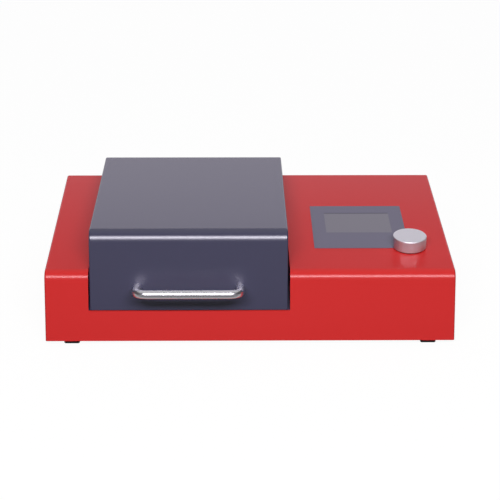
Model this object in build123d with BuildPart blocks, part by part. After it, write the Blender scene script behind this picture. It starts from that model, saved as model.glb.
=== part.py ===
from build123d import *
import os
from math import atan2, cos, degrees, radians, sin, tan

# Bench curing unit: a folded sheet body with a lid over a mirrored chamber on the left,
# and a display with a push-and-turn knob on the right. Millimetres, +Z up, front towards -Y.
# The origin is on the bench, at the middle of the unit's overall box.

# Body
body_width = 420.0
body_depth = 260.0  # bottom front edge to rear face
foot_height = 6.0
front_rise = 70.0  # bottom edge up to the corner of front and deck
rear_rise = 87.0  # bottom edge up to the deck's rear edge
front_lean = 12.5  # degrees that the front leans back
sheet = 1.5
front_bend = 11.0  # outside radius of the bend between front and deck
side_edge = 2.0  # outside radius along the side edges
flange_height = 12.0
rear_reach = 14.0  # furthest that a rear fitting stands out

# Lid
lid_width = 202.5
lid_from_left = 45.9  # body's left side to the lid's left side
lid_top_height = 116.5
lid_bottom_height = 37.7  # front lower edge above the bench
lid_sheet = 2.0
lid_bend = 12.0
lid_rear_bend = 5.0
lid_edge = 1.6
left_gap = 1.3
right_gap = 2.3
mouth_gap = 1.2

# Handle
handle_centres = 104.8
handle_rod = 8.5
handle_projection = 37.0  # lid front to the bar's axis
handle_bend = 12.0
handle_height = 60.8  # of the legs' axes above the bench, at the lid front
handle_screw = 4.0

# Curing chamber
chamber_side_margin = 14.0  # lid side to chamber side
chamber_front_margin = 26.0
chamber_rear_margin = 24.0
chamber_floor = 28.0
mirror_sheet = 1.0
rim_width = 4.0
gasket_width = 5.0
liner_lift = 3.0  # mouth plane up to the liner's flange
seal_clearance = 0.25
buffer_radius = 4.0
buffer_inset = 12.0  # lid's sides to the buffers
buffer_setback = 6.0  # lid's front to the buffers
pin_radius = 2.0  # lid switch pin
pin_from_right = 30.0

# Light modules
light_window = 120.0
window_lap = 5.0
window_glass = 3.0
led_gap = 1.0
led_size = 3.5
led_height = 1.4
led_lens_radius = 1.4
led_lens_taper = 30  # degrees
led_pitch = 22.0
led_rows = 5
board_thickness = 1.6
sink_size = 126.0
sink_base = 3.0
fin_height = 8.0
fin_thickness = 1.5
fin_pitch = 7.0
fin_clearance = 3.5  # fins to the lid's inside
sink_post_radius = 3.0
sink_post_inset = 6.0
work_plate_size = 150.0
work_plate_thickness = 4.0
work_plate_corner = 8.0

# Lid hinges
hinge_drop = 2.6  # deck's rear edge down to the pin
hinge_spread = 130.0
hinge_length = 50.0
hinge_leaf = 2.0
leaf_share = 0.613  # leaf's height to the lid's height above the pin
knuckle_radius = 4.0
knuckle_length = 20.0
knuckle_gap = 0.3
hinge_pin_radius = 2.0
hinge_screw_radius = 1.5
hinge_screw_spacing = 32.0

# Display and knob, measured on the deck from its front corner line
panel_width = 100.0
panel_length = 104.0
panel_from_right = 41.9
panel_from_front = 53.7
panel_thickness = 0.6
panel_corner = 1.0
screen_width = 70.6
screen_length = 48.9
screen_rise = 9.6  # above the panel's centre
screen_recess = 0.2
module_margin = 7.0
module_bezel = 1.0  # module's recess round the screen
module_thickness = 4.0
control_board_width = 126.0
control_board_length = 100.0
control_board_drop = 9.0
knob_radius = 17.5
knob_height = 12.4
knob_gap = 1.3
knob_chamfer = 0.8
knob_cap = 2.0  # top's thickness over the shaft
knob_from_panel_front = 2.7
knob_grooves = 72
groove_depth = 0.45
push_travel = 0.5
encoder_shaft_radius = 3.0
encoder_bush_radius = 4.5
encoder_bush_height = 5.0
encoder_nut_across = 11.0
encoder_nut_height = 2.0
encoder_size = 13.0
encoder_wall = 1.0
cup_thickness = 1.5

# Rear fittings
entry_z = 48.0
entry_width = 50.0
entry_height = 60.0
entry_flange = 3.0
entry_corner = 4.0
entry_depth = 24.0
fan_from_right = 46.0
fan_z = 48.0
fan_size = 60.0
fan_depth = 15.0
fan_bore = 57.0
fan_hub_radius = 12.7
fan_hole_spacing = 50.0
fan_blades = 7
gas_from_left = 22.0
gas_z = 40.0
gas_tube_radius = 3.05
gas_tube_depth = 14.0
hose_radius = 3.0
hose_bore = 2.0
hose_bend = 20.0

# Clearances
running_clearance = 0.06
slip_clearance = 0.2
free_clearance = 0.3

os.makedirs("parts", exist_ok=True)


def finish(builder, name):
    """Label a finished piece and write its STEP file."""
    builder.part.label = name
    export_step(builder.part, f"parts/{name}.step")


# The side view: Y runs to the rear and Z up
lean = radians(front_lean)
half_width = body_width / 2
deck_front_height = foot_height + front_rise
deck_rear_height = foot_height + rear_rise
handle_root = (handle_height - foot_height) * tan(lean)
handle_front = handle_root - handle_projection * cos(lean) - handle_rod / 2
toe_y = -(body_depth + rear_reach + handle_front) / 2
rear_y = toe_y + body_depth
far = 400.0  # longer than any cut needs to be
past = 40.0  # deeper than any fold


def front_y(height, inset=0.0):
    """Y of the leaning front at a height, or of a plane behind it."""
    return toe_y + (height - foot_height) * tan(lean) + inset / cos(lean)


deck_front_y = front_y(deck_front_height)
slope = atan2(deck_rear_height - deck_front_height, rear_y - deck_front_y)


def deck_height(y, inset=0.0):
    """Height of the sloping deck at y, or of a plane under it."""
    return deck_front_height + (y - deck_front_y) * tan(slope) - inset / cos(slope)


hinge_y = rear_y + knuckle_radius + free_clearance
hinge_z = deck_rear_height - hinge_drop
hinge_leaf_height = leaf_share * (lid_top_height - hinge_z)
mouth = atan2(hinge_z - lid_bottom_height, hinge_y - front_y(lid_bottom_height))


def mouth_height(y, lift=0.0):
    """Height of the plane through the hinge pin and the lid's front lower edge."""
    return hinge_z - (hinge_y - y) * tan(mouth) + lift / cos(mouth)


def deck_plane(x, along, lift=0.0):
    """A plane on the deck, `along` from its front corner line and `lift` above it."""
    y = deck_front_y + along * cos(slope) - lift * sin(slope)
    z = deck_front_height + along * sin(slope) + lift * cos(slope)
    return Plane(origin=(x, y, z), x_dir=(1, 0, 0), z_dir=(0, -sin(slope), cos(slope)))


def front_plane(x, height, lift=0.0):
    """A plane on the leaning front, facing forward."""
    y = front_y(height) - lift * cos(lean)
    z = height + lift * sin(lean)
    return Plane(origin=(x, y, z), x_dir=(1, 0, 0), z_dir=(0, -cos(lean), sin(lean)))


def mouth_plane(x, y, lift=0.0):
    """A plane on the chamber's sloping mouth, facing up."""
    normal = (0, -sin(mouth), cos(mouth))
    return Plane(origin=(x, y, mouth_height(y)), x_dir=(1, 0, 0), z_dir=normal).offset(lift)


def rear_plane(x, height, lift=0.0):
    """A plane on the rear face, facing back."""
    return Plane(origin=(x, rear_y + lift, height), x_dir=(-1, 0, 0), z_dir=(0, 1, 0))


def side_face(x, *corners):
    """A flat face across the side view at x, through (y, z) corners."""
    with BuildSketch(Plane.YZ.offset(x)) as face:
        with BuildLine():
            Polyline(*corners, close=True)
        make_face()
    return face.sketch


def body_section(x, inset=0.0, overrun=0.0):
    """The body's side view, drawn inset inside its front and deck and left open below and behind."""
    low, back = foot_height - overrun, rear_y + overrun
    with BuildSketch(Plane.YZ.offset(x)) as section:
        with BuildLine():
            Polyline(
                (front_y(low), low), (deck_front_y, deck_front_height),
                (back, deck_height(back)), (back, low),
                close=True,
            )
        make_face()
        if inset:
            offset(amount=-inset, kind=Kind.INTERSECTION)
        corner = (deck_front_y, deck_front_height, 0)
        fillet(section.vertices().sort_by_distance(corner)[0], front_bend - inset)
    return section.sketch


def lid_section(x, inset=0.0):
    """The lid's side view down to the bench, drawn inset inside its sheet."""
    with BuildSketch(Plane.YZ.offset(x)) as section:
        with BuildLine():
            Polyline(
                (front_y(0), 0), (front_y(lid_top_height), lid_top_height),
                (rear_y, lid_top_height), (rear_y, 0),
                close=True,
            )
        make_face()
        if inset:
            offset(amount=-inset, kind=Kind.INTERSECTION)
        fillet(section.vertices().group_by(Axis.Y)[-1].sort_by(Axis.X)[0], lid_bend - inset)
        fillet(section.vertices().group_by(Axis.Y)[-1].sort_by(Axis.X)[-1], lid_rear_bend - inset)
    return section.sketch


def below_mouth(x, lift=0.0):
    """Everything below a plane parallel to the chamber's mouth, as a face at x."""
    return side_face(
        x, (-far, mouth_height(-far, lift)), (far, mouth_height(far, lift)), (far, -far), (-far, -far)
    )


def above_mouth(x, lift=0.0):
    """Everything above a plane parallel to the chamber's mouth, as a face at x."""
    return side_face(
        x, (-far, mouth_height(-far, lift)), (far, mouth_height(far, lift)), (far, far), (-far, far)
    )


# Places that several pieces share
lid_left = -half_width + lid_from_left
lid_right = lid_left + lid_width
lid_middle = (lid_left + lid_right) / 2
cut_left = lid_left - left_gap
cut_right = lid_right + right_gap
cut_width = cut_right - cut_left
chamber_left = lid_left + chamber_side_margin
chamber_right = lid_right - chamber_side_margin
chamber_front = front_y(lid_bottom_height) + chamber_front_margin
chamber_rear = rear_y - chamber_rear_margin
chamber_width = chamber_right - chamber_left
chamber_length = chamber_rear - chamber_front
chamber_middle = (chamber_front + chamber_rear) / 2
lid_inner_width = lid_width - 2 * lid_sheet
lid_ceiling = lid_top_height - lid_sheet
lamp_stack = window_glass + led_gap + led_height + board_thickness + sink_base
chamber_ceiling = lid_ceiling - fin_clearance - fin_height - lamp_stack - mirror_sheet
fan_x = half_width - fan_from_right
gas_x = -half_width + gas_from_left
entry_x = (cut_right + fan_x - fan_size / 2) / 2
base_top = foot_height + sheet
front_inside = front_y(base_top, sheet)
rear_inside = rear_y - sheet
inner_half = half_width - sheet
pan_top = -mouth_gap
lip_middle = deck_height(rear_inside, sheet) - flange_height / 2
rear_screw_places = [(side * (half_width - flange_height), lip_middle) for side in (-1, 1)]
buffer_y = front_y(lid_bottom_height, lid_sheet) + buffer_setback
switch_x = lid_right - pin_from_right
switch_y = buffer_y
window_x = half_width - panel_from_right - panel_width / 2
panel_along = panel_from_front + panel_length / 2
screen_along = panel_along + screen_rise
knob_x = half_width - panel_from_right
knob_along = panel_from_front + knob_from_panel_front
hinge_places = [lid_middle - hinge_spread / 2, lid_middle + hinge_spread / 2]
leaf_start = knuckle_radius + 2 * free_clearance
leaf_middle = leaf_start + hinge_leaf_height / 2
module_width = screen_width + 2 * module_margin
module_length = screen_length + 2 * module_margin

# Housing: front, deck and sides folded from one sheet, open below and behind
with BuildPart() as housing_hood:
    extrude(body_section(-half_width), amount=body_width)
    outer_edges = housing_hood.faces().filter_by(Axis.X).edges()
    side_edges = [
        edge for edge in outer_edges
        if edge.center().Z > foot_height + sheet and edge.center().Y < rear_y - sheet
    ]
    fillet(side_edges, side_edge)
    extrude(body_section(-inner_half, sheet, past), amount=2 * inner_half, mode=Mode.SUBTRACT)
    # The lid's opening runs from the front over the bend to the rear edge
    extrude(above_mouth(cut_left, pan_top), amount=cut_width, mode=Mode.SUBTRACT)
    # Rear lips that the rear panel is screwed to
    lip_top = deck_height(rear_inside - sheet, sheet / 2)
    for low_x, high_x in ((-inner_half, cut_left - sheet), (cut_right + sheet, inner_half)):
        with Locations(((low_x + high_x) / 2, rear_inside - sheet / 2, lip_top)):
            Box(high_x - low_x, sheet, flange_height, align=(Align.CENTER, Align.CENTER, Align.MAX))
    with BuildSketch(Plane.XZ.offset(-rear_y)):
        with Locations(*rear_screw_places):
            Circle(hinge_screw_radius + slip_clearance)
    extrude(amount=past, mode=Mode.SUBTRACT)
    # Screen window and the hole for the knob's bush
    with BuildSketch(deck_plane(window_x, screen_along, sheet)):
        Rectangle(module_width + 2 * slip_clearance, module_length + 2 * slip_clearance)
    extrude(amount=-3 * sheet, mode=Mode.SUBTRACT)
    with BuildSketch(deck_plane(knob_x, knob_along, sheet)):
        Circle(encoder_bush_radius + slip_clearance)
    extrude(amount=-3 * sheet, mode=Mode.SUBTRACT)
finish(housing_hood, "housing_hood")

# Base plate with turned-up sides and rear, slotted under the lower light module
slot_count = 9
slot_pitch = 13.0
slot_width = 4.0
slot_length = 70.0
foot_inset = 26.2  # foot centre from the body's side
foot_setback = 14.6  # foot centre from the front and rear edges
foot_width = 16.0
foot_corner = 2.0
foot_chamfer = 0.6
foot_screw = 3.6
foot_x = half_width - foot_inset
foot_front = toe_y + foot_setback
foot_rear = rear_y - foot_setback
foot_places = [(x, y) for x in (-foot_x, foot_x) for y in (foot_front, foot_rear)]
with BuildPart() as base_plate:
    with BuildSketch(Plane.XY.offset(foot_height)):
        with Locations((0, (front_inside + rear_y) / 2)):
            Rectangle(2 * inner_half, rear_y - front_inside)
        with Locations(*foot_places):
            Circle(foot_screw / 2 + slip_clearance, mode=Mode.SUBTRACT)
        with Locations((lid_middle, chamber_middle)):
            with GridLocations(slot_pitch, 1, slot_count, 1):
                SlotOverall(slot_length, slot_width, rotation=90, mode=Mode.SUBTRACT)
    extrude(amount=sheet)
    side_flange_length = rear_inside - front_inside - 2 * flange_height
    for side in (-1, 1):
        with Locations((side * (inner_half - sheet / 2), (front_inside + rear_inside) / 2, base_top)):
            Box(sheet, side_flange_length, flange_height, align=(Align.CENTER, Align.CENTER, Align.MIN))
finish(base_plate, "base_plate")

# Square feet, each held by a screw through the base plate
with BuildPart() as rubber_feet:
    with BuildSketch():
        with Locations(*foot_places):
            RectangleRounded(foot_width, foot_width, foot_corner)
    extrude(amount=foot_height)
    chamfer(rubber_feet.edges().group_by(Axis.Z)[0], foot_chamfer)
    with Locations(*foot_places):
        Cylinder(
            foot_screw, foot_height / 2, align=(Align.CENTER, Align.CENTER, Align.MIN), mode=Mode.SUBTRACT
        )
        Cylinder(
            foot_screw / 2, foot_height, align=(Align.CENTER, Align.CENTER, Align.MIN), mode=Mode.SUBTRACT
        )
finish(rubber_feet, "rubber_feet")

screw_head_height = 2.0
screw_head_taper = 15  # degrees
nut_height = 2.4
nut_radius = 3.4
with BuildPart() as foot_screws:
    with Locations(*[(x, y, foot_height / 2) for x, y in foot_places]):
        Cylinder(
            foot_screw - slip_clearance, screw_head_height,
            align=(Align.CENTER, Align.CENTER, Align.MAX),
        )
        Cylinder(
            foot_screw / 2, foot_height / 2 + sheet + nut_height,
            align=(Align.CENTER, Align.CENTER, Align.MIN),
        )
    with BuildSketch(Plane.XY.offset(base_top)):
        with Locations(*foot_places):
            RegularPolygon(nut_radius, 6)
    extrude(amount=nut_height)
finish(foot_screws, "foot_screws")

# Rear panel, lower where the lid comes down behind the chamber
fan_hole_lap = 0.5
fan_hole_radius = fan_bore / 2 - fan_hole_lap
gas_shank_radius = 5.0
entry_cut_width = 31.0
entry_cut_height = 52.0
with BuildPart() as rear_panel:
    panel_top = deck_height(rear_inside, sheet) - slip_clearance
    low_top = mouth_height(rear_inside, pan_top)
    with BuildSketch(Plane.XZ.offset(-rear_y)):
        with BuildLine():
            Polyline(
                (-inner_half, base_top), (-inner_half, panel_top), (cut_left - sheet, panel_top),
                (cut_left - sheet, low_top), (cut_right + sheet, low_top), (cut_right + sheet, panel_top),
                (inner_half, panel_top), (inner_half, base_top),
                close=True,
            )
        make_face()
        with Locations((fan_x, fan_z)):
            Circle(fan_hole_radius, mode=Mode.SUBTRACT)
            with GridLocations(fan_hole_spacing, fan_hole_spacing, 2, 2):
                Circle(handle_screw / 2 + slip_clearance, mode=Mode.SUBTRACT)
        with Locations((entry_x, entry_z)):
            Rectangle(entry_cut_width, entry_cut_height, mode=Mode.SUBTRACT)
        with Locations((gas_x, gas_z)):
            Circle(gas_shank_radius + slip_clearance, mode=Mode.SUBTRACT)
        with Locations((lid_middle, fan_z - flange_height)):
            with GridLocations(slot_pitch, 1, slot_count, 1):
                SlotOverall(fan_size / 2, slot_width, rotation=90, mode=Mode.SUBTRACT)
        with Locations(*rear_screw_places):
            Circle(hinge_screw_radius + slip_clearance, mode=Mode.SUBTRACT)
        with Locations(*[(x, hinge_z - leaf_middle) for x in hinge_places]):
            with GridLocations(hinge_screw_spacing, 1, 2, 1):
                Circle(hinge_screw_radius + slip_clearance, mode=Mode.SUBTRACT)
    extrude(amount=sheet)
finish(rear_panel, "rear_panel")

# Sloping pan under the lid: a plate around the chamber and two cheeks up to the deck
with BuildPart() as well_pan:
    extrude(body_section(cut_left - sheet, sheet), amount=cut_width + 2 * sheet)
    extrude(above_mouth(cut_left, pan_top), amount=cut_width, mode=Mode.SUBTRACT)
    under_pan = below_mouth(cut_left - 2 * sheet, pan_top - sheet)
    extrude(under_pan, amount=cut_width + 4 * sheet, mode=Mode.SUBTRACT)
    tub_hole = mirror_sheet + slip_clearance
    with Locations((lid_middle, chamber_middle, 0)):
        Box(chamber_width + 2 * tub_hole, chamber_length + 2 * tub_hole, far, mode=Mode.SUBTRACT)
    with BuildSketch(mouth_plane(switch_x, switch_y)):
        Circle(pin_radius + running_clearance)
    extrude(amount=-4 * sheet, mode=Mode.SUBTRACT)
finish(well_pan, "well_pan")

# Mirrored tub: a flat floor with a light window, upright walls and a rim on the pan
tub_front = chamber_front - mirror_sheet
tub_rear = chamber_rear + mirror_sheet
tub_bottom = chamber_floor - mirror_sheet
rim_top = pan_top + mirror_sheet
nozzle_radius = 3.0
nozzle_z = gas_z
nozzle_shift = 20.0  # behind the chamber's middle
nozzle_y = chamber_middle + nozzle_shift
with BuildPart() as reflector_tub:
    extrude(
        side_face(
            chamber_left - mirror_sheet,
            (tub_front, tub_bottom), (tub_front, mouth_height(tub_front, rim_top)),
            (tub_rear, mouth_height(tub_rear, rim_top)), (tub_rear, tub_bottom),
        ),
        amount=chamber_width + 2 * mirror_sheet,
    )
    rim_front, rim_rear = tub_front - rim_width, tub_rear + rim_width
    extrude(
        side_face(
            chamber_left - mirror_sheet - rim_width,
            (rim_front, mouth_height(rim_front, pan_top)), (rim_front, mouth_height(rim_front, rim_top)),
            (rim_rear, mouth_height(rim_rear, rim_top)), (rim_rear, mouth_height(rim_rear, pan_top)),
        ),
        amount=chamber_width + 2 * (mirror_sheet + rim_width),
    )
    with Locations((lid_middle, chamber_middle, chamber_floor)):
        Box(
            chamber_width, chamber_length, far,
            align=(Align.CENTER, Align.CENTER, Align.MIN), mode=Mode.SUBTRACT,
        )
    with Locations((lid_middle, chamber_middle, chamber_floor)):
        Box(light_window, light_window, 3 * mirror_sheet, mode=Mode.SUBTRACT)
    with BuildSketch(Plane.YZ.offset(chamber_left - 2 * mirror_sheet)):
        with Locations((nozzle_y, nozzle_z)):
            Circle(nozzle_radius + slip_clearance / 2)
    extrude(amount=3 * mirror_sheet, mode=Mode.SUBTRACT)
finish(reflector_tub, "reflector_tub")

# Seal round the mouth, on the pan just outside the tub's rim
seal_top = liner_lift - seal_clearance
with BuildPart() as mouth_seal:
    seal_in = mirror_sheet + rim_width + slip_clearance
    seal_out = seal_in + gasket_width
    seal_front, seal_rear = chamber_front - seal_out, chamber_rear + seal_out
    extrude(
        side_face(
            chamber_left - seal_out,
            (seal_front, mouth_height(seal_front, pan_top)),
            (seal_front, mouth_height(seal_front, seal_top)),
            (seal_rear, mouth_height(seal_rear, seal_top)),
            (seal_rear, mouth_height(seal_rear, pan_top)),
        ),
        amount=chamber_width + 2 * seal_out,
    )
    with Locations((lid_middle, chamber_middle, 0)):
        Box(chamber_width + 2 * seal_in, chamber_length + 2 * seal_in, far, mode=Mode.SUBTRACT)
finish(mouth_seal, "mouth_seal")

# Rubber buffers that the closed lid rests on, at the pan's front corners
buffer_places = [lid_left + buffer_inset, lid_right - buffer_inset]
with BuildPart() as lid_buffers:
    for x in buffer_places:
        with BuildSketch(mouth_plane(x, buffer_y, pan_top)):
            Circle(buffer_radius)
        extrude(amount=seal_top - pan_top)
finish(lid_buffers, "lid_buffers")


# Light modules: a board of lamps between a window and a finned sink, one facing each way
def lamp_window(height):
    """A square pane that laps the light window all round."""
    with BuildPart() as pane:
        with BuildSketch(Plane.XY.offset(height)):
            with Locations((lid_middle, chamber_middle)):
                RectangleRounded(light_window + 2 * window_lap, light_window + 2 * window_lap, window_lap)
        extrude(amount=window_glass)
    return pane


def lamp_board(height):
    """The square board that carries the lamps."""
    with BuildPart() as board:
        with BuildSketch(Plane.XY.offset(height)):
            with Locations((lid_middle, chamber_middle)):
                RectangleRounded(light_window, light_window, board_thickness)
        extrude(amount=board_thickness)
    return board


def lamps(height, facing):
    """A grid of lamps on a board's face at a height, each with a domed front."""
    with BuildPart() as grid:
        with BuildSketch(Plane.XY.offset(height)):
            with Locations((lid_middle, chamber_middle)):
                with GridLocations(led_pitch, led_pitch, led_rows, led_rows):
                    Rectangle(led_size, led_size)
        extrude(amount=facing * led_height / 2)
        with BuildSketch(Plane.XY.offset(height + facing * led_height / 2)):
            with Locations((lid_middle, chamber_middle)):
                with GridLocations(led_pitch, led_pitch, led_rows, led_rows):
                    Circle(led_lens_radius)
        extrude(amount=facing * led_height / 2, taper=led_lens_taper)
    return grid


def finned_sink(height, facing):
    """A sink whose base meets the board at a height, with fins that stop short of its posts."""
    fin_length = sink_size - 4 * sink_post_inset
    fin_count = int((sink_size - fin_thickness) / fin_pitch) + 1
    with BuildPart() as sink:
        with BuildSketch(Plane.XY.offset(height)):
            with Locations((lid_middle, chamber_middle)):
                Rectangle(sink_size, sink_size)
        extrude(amount=facing * sink_base)
        with BuildSketch(Plane.XY.offset(height + facing * sink_base)):
            with Locations((lid_middle, chamber_middle)):
                with GridLocations(fin_pitch, 1, fin_count, 1):
                    Rectangle(fin_thickness, fin_length)
        extrude(amount=facing * fin_height)
    return sink


def sink_posts(low, high):
    """Four posts at the corners of a sink, between two heights."""
    spacing = sink_size - 2 * sink_post_inset
    with BuildPart() as posts:
        with BuildSketch(Plane.XY.offset(low)):
            with Locations((lid_middle, chamber_middle)):
                with GridLocations(spacing, spacing, 2, 2):
                    RegularPolygon(sink_post_radius, 6)
        extrude(amount=high - low)
    return posts


lower_window_z = tub_bottom - window_glass
lower_board_z = lower_window_z - led_gap - led_height - board_thickness
lower_window = lamp_window(lower_window_z)
lower_board = lamp_board(lower_board_z)
lower_lamps = lamps(lower_board_z + board_thickness, 1)
lower_sink = finned_sink(lower_board_z, -1)
lower_posts = sink_posts(base_top, lower_board_z - sink_base)
finish(lower_window, "lower_window")
finish(lower_board, "lower_lamp_board")
finish(lower_lamps, "lower_lamps")
finish(lower_sink, "lower_heat_sink")
finish(lower_posts, "lower_sink_posts")

# Glass plate that the work lies on; it lifts out
with BuildPart() as work_plate:
    with BuildSketch(Plane.XY.offset(chamber_floor)):
        with Locations((lid_middle, chamber_middle)):
            RectangleRounded(work_plate_size, work_plate_size, work_plate_corner)
    extrude(amount=work_plate_thickness)
    chamfer(work_plate.edges().group_by(Axis.Z)[-1], work_plate_thickness / 8)
finish(work_plate, "work_plate")

# Lid: one folded shell, open towards the mouth
with BuildPart() as lid_shell:
    extrude(lid_section(lid_left), amount=lid_width)
    outer_edges = lid_shell.faces().filter_by(Axis.X).edges()
    fillet([edge for edge in outer_edges if edge.center().Z > foot_height], lid_edge)
    extrude(lid_section(lid_left + lid_sheet, lid_sheet), amount=lid_inner_width, mode=Mode.SUBTRACT)
    extrude(below_mouth(lid_left - lid_sheet), amount=lid_width + 2 * lid_sheet, mode=Mode.SUBTRACT)
    for x in (lid_middle - handle_centres / 2, lid_middle + handle_centres / 2):
        with BuildSketch(front_plane(x, handle_height, lid_sheet)):
            Circle(handle_screw / 2 + slip_clearance)
        extrude(amount=-3 * lid_sheet, mode=Mode.SUBTRACT)
    for x in hinge_places:
        with BuildSketch(rear_plane(x, hinge_z + leaf_middle, lid_sheet)):
            with GridLocations(hinge_screw_spacing, 1, 2, 1):
                Circle(hinge_screw_radius + slip_clearance)
        extrude(amount=-3 * lid_sheet, mode=Mode.SUBTRACT)
finish(lid_shell, "lid_shell")

# Mirrored liner: a flange across the lid's mouth and an inverted tray with a light window
flange_top = liner_lift + mirror_sheet
with BuildPart() as lid_liner:
    extrude(lid_section(lid_left + lid_sheet, lid_sheet), amount=lid_inner_width)
    extrude(below_mouth(lid_left, liner_lift), amount=lid_width, mode=Mode.SUBTRACT)
    extrude(above_mouth(lid_left, flange_top), amount=lid_width, mode=Mode.SUBTRACT)
    extrude(
        side_face(
            chamber_left - mirror_sheet,
            (tub_front, mouth_height(tub_front, liner_lift)), (tub_front, chamber_ceiling + mirror_sheet),
            (tub_rear, chamber_ceiling + mirror_sheet), (tub_rear, mouth_height(tub_rear, liner_lift)),
        ),
        amount=chamber_width + 2 * mirror_sheet,
    )
    with Locations((lid_middle, chamber_middle, chamber_ceiling)):
        Box(
            chamber_width, chamber_length, far,
            align=(Align.CENTER, Align.CENTER, Align.MAX), mode=Mode.SUBTRACT,
        )
        Box(light_window, light_window, 3 * mirror_sheet, mode=Mode.SUBTRACT)
finish(lid_liner, "lid_liner")

upper_window_z = chamber_ceiling + mirror_sheet
upper_board_z = upper_window_z + window_glass + led_gap + led_height
upper_sink_z = upper_board_z + board_thickness
upper_window = lamp_window(upper_window_z)
upper_board = lamp_board(upper_board_z)
upper_lamps = lamps(upper_board_z, -1)
upper_sink = finned_sink(upper_sink_z, 1)
upper_posts = sink_posts(upper_sink_z + sink_base, lid_ceiling)
finish(upper_window, "upper_window")
finish(upper_board, "upper_lamp_board")
finish(upper_lamps, "upper_lamps")
finish(upper_sink, "upper_heat_sink")
finish(upper_posts, "upper_sink_posts")

# Handle: a bent rod with a tapped hole in each leg, and the screws from inside the lid
tapped_depth = 14.0
screw_end_gap = 2.0
handle_half = handle_centres / 2
bow = front_plane(lid_middle, handle_height)
bow_plane = Plane(origin=bow.origin, x_dir=(1, 0, 0), z_dir=(0, -sin(lean), -cos(lean)))
with BuildPart() as handle:
    with BuildLine(bow_plane) as bow_line:
        FilletPolyline(
            (-handle_half, 0), (-handle_half, handle_projection),
            (handle_half, handle_projection), (handle_half, 0),
            radius=handle_bend,
        )
    with BuildSketch(front_plane(lid_middle - handle_half, handle_height)):
        Circle(handle_rod / 2)
    sweep(path=bow_line.wires()[0])
    for side in (-1, 1):
        with BuildSketch(front_plane(lid_middle + side * handle_half, handle_height)):
            Circle(handle_screw / 2)
        extrude(amount=tapped_depth, mode=Mode.SUBTRACT)
finish(handle, "handle")

handle_screw_head = 3.6
with BuildPart() as handle_screws:
    for side in (-1, 1):
        with BuildSketch(front_plane(lid_middle + side * handle_half, handle_height, -lid_sheet)):
            Circle(handle_screw_head)
        extrude(amount=-screw_head_height)
        with BuildSketch(front_plane(lid_middle + side * handle_half, handle_height, -lid_sheet)):
            Circle(handle_screw / 2 - running_clearance)
        extrude(amount=lid_sheet + tapped_depth - screw_end_gap)
finish(handle_screws, "handle_screws")


# Hinges: knuckles on one pin, a leaf down the rear panel and a leaf up the lid's rear
outer_knuckle = (hinge_length - knuckle_length) / 2 - knuckle_gap
knuckle_starts = (-hinge_length / 2, knuckle_length / 2 + knuckle_gap)


def leaf_plate(x, direction):
    """Outline of a leaf on the rear face, with holes for its two screws."""
    with BuildSketch(rear_plane(x, hinge_z)) as plate:
        with Locations((0, direction * leaf_middle)):
            Rectangle(hinge_length, hinge_leaf_height)
            with GridLocations(hinge_screw_spacing, 1, 2, 1):
                Circle(hinge_screw_radius + slip_clearance, mode=Mode.SUBTRACT)
    return plate.sketch


def knuckle(x, length, bore):
    """Outline of a knuckle round the pin, starting at x."""
    with BuildSketch(Plane.YZ.offset(x)) as ring:
        with Locations((hinge_y, hinge_z)):
            Circle(knuckle_radius)
            Circle(bore, mode=Mode.SUBTRACT)
    return ring.sketch


def knuckle_web(x, direction):
    """Outline of the strip that joins a knuckle to its leaf, clear of the pin's hole."""
    edge = hinge_z + direction * leaf_start
    root = hinge_z + direction * knuckle_radius / 2
    front, back = rear_y, rear_y + hinge_leaf
    return side_face(x, (front, edge), (back, edge), (back, root), (front, root))


with BuildPart() as body_leaves:
    for x in hinge_places:
        extrude(leaf_plate(x, -1), amount=hinge_leaf)
        for start in knuckle_starts:
            extrude(knuckle(x + start, outer_knuckle, hinge_pin_radius), amount=outer_knuckle)
            extrude(knuckle_web(x + start, -1), amount=outer_knuckle)
finish(body_leaves, "body_hinge_leaves")

with BuildPart() as lid_leaves:
    for x in hinge_places:
        start = x - knuckle_length / 2
        extrude(leaf_plate(x, 1), amount=hinge_leaf)
        extrude(knuckle(start, knuckle_length, hinge_pin_radius + running_clearance), amount=knuckle_length)
        extrude(knuckle_web(start, 1), amount=knuckle_length)
finish(lid_leaves, "lid_hinge_leaves")

with BuildPart() as hinge_pins:
    for x in hinge_places:
        with BuildSketch(Plane.YZ.offset(x - hinge_length / 2)):
            with Locations((hinge_y, hinge_z)):
                Circle(hinge_pin_radius)
        extrude(amount=hinge_length)
    chamfer(hinge_pins.edges().filter_by(GeomType.CIRCLE), hinge_pin_radius / 5)
finish(hinge_pins, "hinge_pins")


def hinge_screws(direction, depth):
    """Domed screws through both leaves on one side of the pins."""
    middle = hinge_z + direction * leaf_middle
    with BuildPart() as screws:
        for x in hinge_places:
            with BuildSketch(rear_plane(x, middle, hinge_leaf)):
                with GridLocations(hinge_screw_spacing, 1, 2, 1):
                    Circle(2 * hinge_screw_radius)
            extrude(amount=screw_head_height, taper=screw_head_taper)
            with BuildSketch(rear_plane(x, middle, hinge_leaf)):
                with GridLocations(hinge_screw_spacing, 1, 2, 1):
                    Circle(hinge_screw_radius)
            extrude(amount=-depth)
    return screws


finish(hinge_screws(-1, hinge_leaf + sheet + nut_height), "body_hinge_screws")
finish(hinge_screws(1, hinge_leaf + lid_sheet + nut_height), "lid_hinge_screws")

# Display panel on the deck, cut back at its corner for the knob's nut
relief_radius = 8.2
with BuildPart() as display_panel:
    with BuildSketch(deck_plane(window_x, panel_along)):
        RectangleRounded(panel_width, panel_length, panel_corner)
        with Locations((knob_x - window_x, knob_along - panel_along)):
            Circle(relief_radius, mode=Mode.SUBTRACT)
    extrude(amount=panel_thickness)
    with BuildSketch(deck_plane(window_x, screen_along, panel_thickness)):
        Rectangle(screen_width, screen_length)
    extrude(amount=-screen_recess, mode=Mode.SUBTRACT)
finish(display_panel, "display_panel")

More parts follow.
